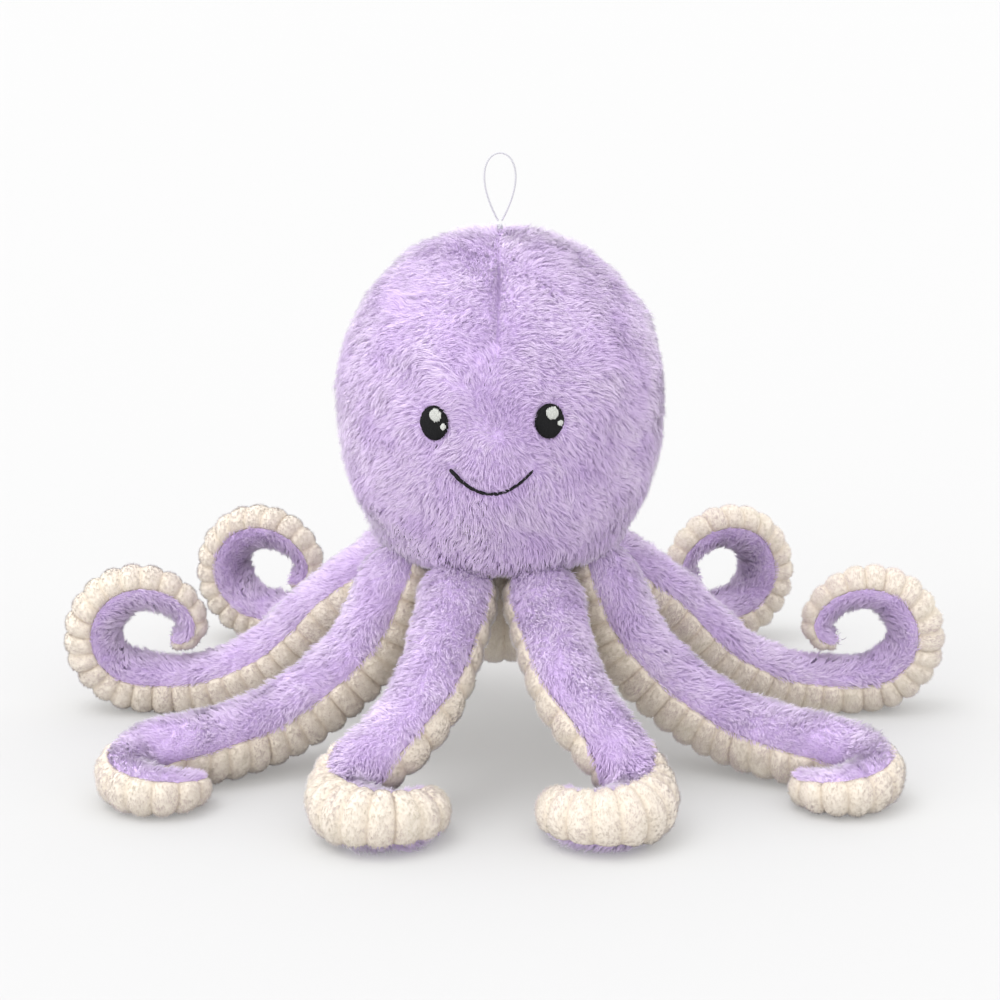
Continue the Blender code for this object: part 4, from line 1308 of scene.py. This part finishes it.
def root_position(spec):
    """Where the tentacle's hinge is, for a tentacle on the right, before the frame's shift."""
    azimuth = math.radians(spec["azimuth_deg"])
    return np.array((ROOT_RING_RADIUS * math.sin(azimuth), -ROOT_RING_RADIUS * math.cos(azimuth), ROOT_Z))


def rolled_top(outward, roll_deg):
    """Straight up, rolled towards the middle of the hook."""
    roll = math.radians(roll_deg)
    return math.cos(roll) * UP - math.sin(roll) * outward


def curl_points(spec):
    """The points of the curl, each with the direction that the furry top faces there."""
    points, tops = [], []
    if spec["hook"]:
        for angle_deg, share, height, roll_deg in spec["hook"]:
            angle = math.radians(angle_deg)
            outward = np.array((math.sin(angle), math.cos(angle), 0.0))
            points.append(np.array((*spec["centre"], height)) + outward * spec["radius"] * share)
            tops.append(rolled_top(outward, roll_deg))
        return points, tops
    heading = math.radians(spec["heading_deg"])
    ahead = np.array((math.cos(heading), math.sin(heading), 0.0))
    for angle_deg, share in UPRIGHT_CURL:
        angle = math.radians(angle_deg)
        outward = ahead * math.sin(angle) - UP * math.cos(angle)
        points.append(np.array(spec["centre"]) + outward * spec["radius"] * share)
        tops.append(-outward)
    return points, tops


def tentacle_line(spec):
    """Arrays down the middle of a tentacle: place, tangent, top, side, radius, and its length."""
    root = root_position(spec)
    run = [np.array(point) for point in spec["run"]]
    start = root - ROOT_RADIUS * unit(run[0] - root)
    curl, curl_tops = curl_points(spec)
    last_top = UP
    if spec["hook"]:
        outward = run[-1] - np.array((*spec["centre"], run[-1][2]))
        last_top = rolled_top(unit(outward), spec["run_roll_deg"])
    tops = [UP] * (1 + len(run)) + [last_top] + curl_tops
    samples, length = smooth_curve(np.hstack(([start, root, *run, *curl], tops)), CURVE_SAMPLES)
    samples[:, (0, 3)] *= spec["side"]
    places, tops = samples[:, :3] + FRAME_SHIFT, samples[:, 3:]
    tangents = unit(np.gradient(places, axis=0))
    tops = flat_on(tops, tangents)
    taper = np.array(spec["taper"])
    radius = np.interp(LINE_SHARES, taper[:, 0], taper[:, 1])
    ends = ((LINE_SHARES * length, ROOT_RADIUS), ((1.0 - LINE_SHARES) * length, taper[-1, 1]))
    for distance, size in ends:
        radius = radius * np.sqrt(1.0 - (1.0 - np.clip(distance / size, 0.0, 1.0)) ** 2)
    seam = np.radians(np.interp(LINE_SHARES, *np.array(spec["seam"]).T))
    return {"place": places, "tangent": tangents, "top": tops, "side": np.cross(tangents, tops),
            "radius": radius, "seam": seam, "length": length, "rib_pitch": spec["rib_pitch"]}


def at_share(line, share):
    """The line's arrays at these shares of its length."""
    spot = np.asarray(share) * (CURVE_SAMPLES - 1)
    steps = np.arange(CURVE_SAMPLES)
    found = {}
    for key in ("place", "tangent", "top", "side"):
        found[key] = np.stack([np.interp(spot, steps, line[key][:, k]) for k in range(3)], axis=-1)
    for key in ("radius", "seam"):
        found[key] = np.interp(spot, steps, line[key])
    return found


def round_section(spot, angle):
    """The directions round the section, the way that the angle grows."""
    return -np.sin(angle)[:, None] * spot["top"] + np.cos(angle)[:, None] * spot["side"]


def around_line(line, share, angle, offset):
    """(points, normals) on the tentacle at shares and angles of the same shape, offset outwards."""
    spot = at_share(line, share)
    normals = unit(np.cos(angle)[..., None] * spot["top"] + np.sin(angle)[..., None] * spot["side"])
    reach = np.maximum(spot["radius"] + offset, 0.15 * spot["radius"])
    points = spot["place"] + normals * reach[..., None]
    points[..., 2] = np.maximum(points[..., 2], FLOOR_GAP)
    return points, normals


def pile_depth(line, share):
    """How thick the lilac pile is at these shares: less where the tentacle is thin."""
    return np.minimum(TENTACLE_PILE, MOST_PILE_SHARE * at_share(line, share)["radius"])


def rib_phase(line):
    """(count, phase) of the ribs: the phase grows by 1 over each rib, at each of the line's samples."""
    outer, _ = around_line(line, LINE_SHARES, np.full(CURVE_SAMPLES, math.pi), 0.0)
    along = np.concatenate(([0.0], np.cumsum(np.linalg.norm(np.diff(outer, axis=0), axis=1))))
    ribs = round(along[-1] / line["rib_pitch"])
    return ribs, along / along[-1] * ribs


def underside(line, share, angle):
    """(points, normals, crest) of the ribbed cloth, whose crest is 0 in a groove and 1 on top of a rib."""
    _, phase = rib_phase(line)
    crest = np.abs(np.sin(math.pi * np.interp(share, LINE_SHARES, phase))) ** RIB_SHARPNESS
    spot = at_share(line, share)
    from_middle = np.abs(angle - math.pi) / (math.pi - spot["seam"])
    rounded = np.sqrt(np.clip(1.0 - from_middle ** RIB_END_POWER, 0.0, 1.0))
    # Near the seams the ribs are lower and their cream is painted darker, as shade where the cloth tucks in.
    crest = crest * (RIB_END_SHARE + (1.0 - RIB_END_SHARE) * rounded)
    height = np.minimum(RIB_HEIGHT, MOST_PILE_SHARE * spot["radius"])
    offset = height * (crest - RIB_LEVEL) - RIB_END_TUCK * (1.0 - rounded)
    return (*around_line(line, share, angle, offset), crest)


def add_ribbed_cloth(name, line):
    """The cream panel of a tentacle, with its ribs."""
    ribs, _ = rib_phase(line)
    share = np.linspace(*CLOTH_ENDS, ribs * RINGS_PER_RIB + 1)
    share, across = np.meshgrid(share, np.linspace(1.0, -1.0, RIB_COLUMNS), indexing="ij")
    half = math.pi - at_share(line, share)["seam"] + SEAM_LAP
    points, _, crest = underside(line, share, math.pi + half * across)
    cloth = add_cloth(name + "_ribbed_cloth", points, "cream_ribs")
    set_attribute(cloth, "crest", crest)
    return cloth


def add_cream_pile(name, line, random):
    """Short pile that lies round the ribs, shorter in the grooves."""
    arc = line["radius"] * (math.pi - line["seam"])
    share = scattered_shares(line, arc, CREAM_STRANDS_PER_CM2, random)
    half = math.pi - at_share(line, share)["seam"]
    angle = math.pi + half * random.uniform(-CREAM_REACH, CREAM_REACH, len(share))
    points, normals, crest = underside(line, share, angle)
    around = round_section(at_share(line, share), angle)
    lengths = CREAM_STRAND_LENGTH * (GROOVE_LENGTH_SHARE + (1.0 - GROOVE_LENGTH_SHARE) * crest)
    return short_pile(name + "_ribbed_pile", points, normals, flat_on(around, normals), lengths, random)


def scattered_shares(line, half_arc, density, random):
    """Shares of the length, one for each strand, so that a strip this wide is evenly covered."""
    count = int(2.0 * half_arc.mean() * line["length"] * 1e4 * density)
    weight = np.cumsum(half_arc)
    even = (np.arange(count) + random.uniform(0.0, 1.0, count)) / count
    return np.interp(even * weight[-1], weight, LINE_SHARES)


def add_top_cloth(name, line):
    """The lilac panel of a tentacle, under its pile."""
    share = np.linspace(*CLOTH_ENDS, TOP_RINGS)
    share, across = np.meshgrid(share, np.linspace(1.0, -1.0, TOP_COLUMNS), indexing="ij")
    angle = across * (at_share(line, share)["seam"] + SEAM_LAP)
    points, _ = around_line(line, share, angle, -pile_depth(line, share))
    return add_cloth(name + "_top_cloth", points, "lilac_cloth")


def add_lilac_pile(name, line, random):
    """Long pile that lies along a tentacle, shorter at its seams and thin end."""
    density = TENTACLE_STRANDS_PER_CM2
    share = scattered_shares(line, line["radius"] * line["seam"], density, random)
    spot = at_share(line, share)
    across = random.uniform(-1.0, 1.0, len(share))
    angle = spot["seam"] * across
    depth = pile_depth(line, share)
    roots, normals = around_line(line, share, angle, -depth)
    combs = spot["tangent"] + round_section(spot, angle) * (COMB_SIDEWAYS * np.sin(angle))[:, None]
    combs = swirled(flat_on(combs, normals), roots, normals, TENTACLE_SWIRLS)
    near_seam = np.clip((np.abs(across) - SEAM_TRIM_START) / (1.0 - SEAM_TRIM_START), 0.0, 1.0)
    lengths = TENTACLE_STRAND_LENGTH * (depth / TENTACLE_PILE) ** THIN_PILE_POWER
    lengths = lengths * (1.0 - SEAM_TRIM * near_seam)
    lengths = lengths * (1.0 + LENGTH_WAVE * wavy(roots, *TENTACLE_LENGTH_WAVES))
    return long_pile(name + "_top_pile", roots, normals, combs, lengths, TENTACLE_LEAN, density, random)


def add_fibre_fill(name, line):
    """The loose fibre inside a tentacle, a little lumpy."""
    fill = TENTACLE_FILL
    share = np.linspace(*fill["ends"], fill["rings"])
    angle = np.linspace(2.0 * math.pi, 0.0, fill["sides"], endpoint=False)
    share, angle = np.meshgrid(share, angle, indexing="ij")
    radius = np.interp(share, LINE_SHARES, line["radius"])
    points, normals = around_line(line, share, angle, -fill["depth"] * radius)
    lumps = wavy(points.reshape(-1, 3), *fill["lumps"]).reshape(share.shape)
    points = points + normals * (fill["lump_height"] * radius * lumps)[..., None]
    points[..., 2] = np.maximum(points[..., 2], fill["lowest"])
    return add_mesh(name + "_fibre_fill", points.reshape(-1, 3), tube_faces(*share.shape), "fibre")


def add_tentacle(number, spec):
    """One tentacle: two panels, their pile and the fibre inside, blended into the body at the hinge."""
    body = "tentacle_" + spec["name"]
    line = tentacle_line(spec)
    random = np.random.default_rng(SEED + TENTACLE_SEED + number)
    top = add_top_cloth(body, line)
    ribbed = add_ribbed_cloth(body, line)
    lilac = add_lilac_pile(body, line, random)
    cream = add_cream_pile(body, line, random)
    fill = add_fibre_fill(body, line)
    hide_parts(body + "_top_panel")
    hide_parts(body + "_ribbed_panel")
    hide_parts(body + "_stuffing")
    for piece, slot in ((top, "lilac_plush"), (lilac, "lilac_plush"), (ribbed, "cream_plush"),
                        (cream, "cream_plush"), (fill, "fibre_stuffing")):
        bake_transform(piece)


add_camera()
add_hanging_loop()
add_loop_knot()
add_floor()
add_light()
add_head()
add_eye("left")
add_eye("right")
add_smile()
add_base()
for number, spec in enumerate(TENTACLES):
    add_tentacle(number, spec)
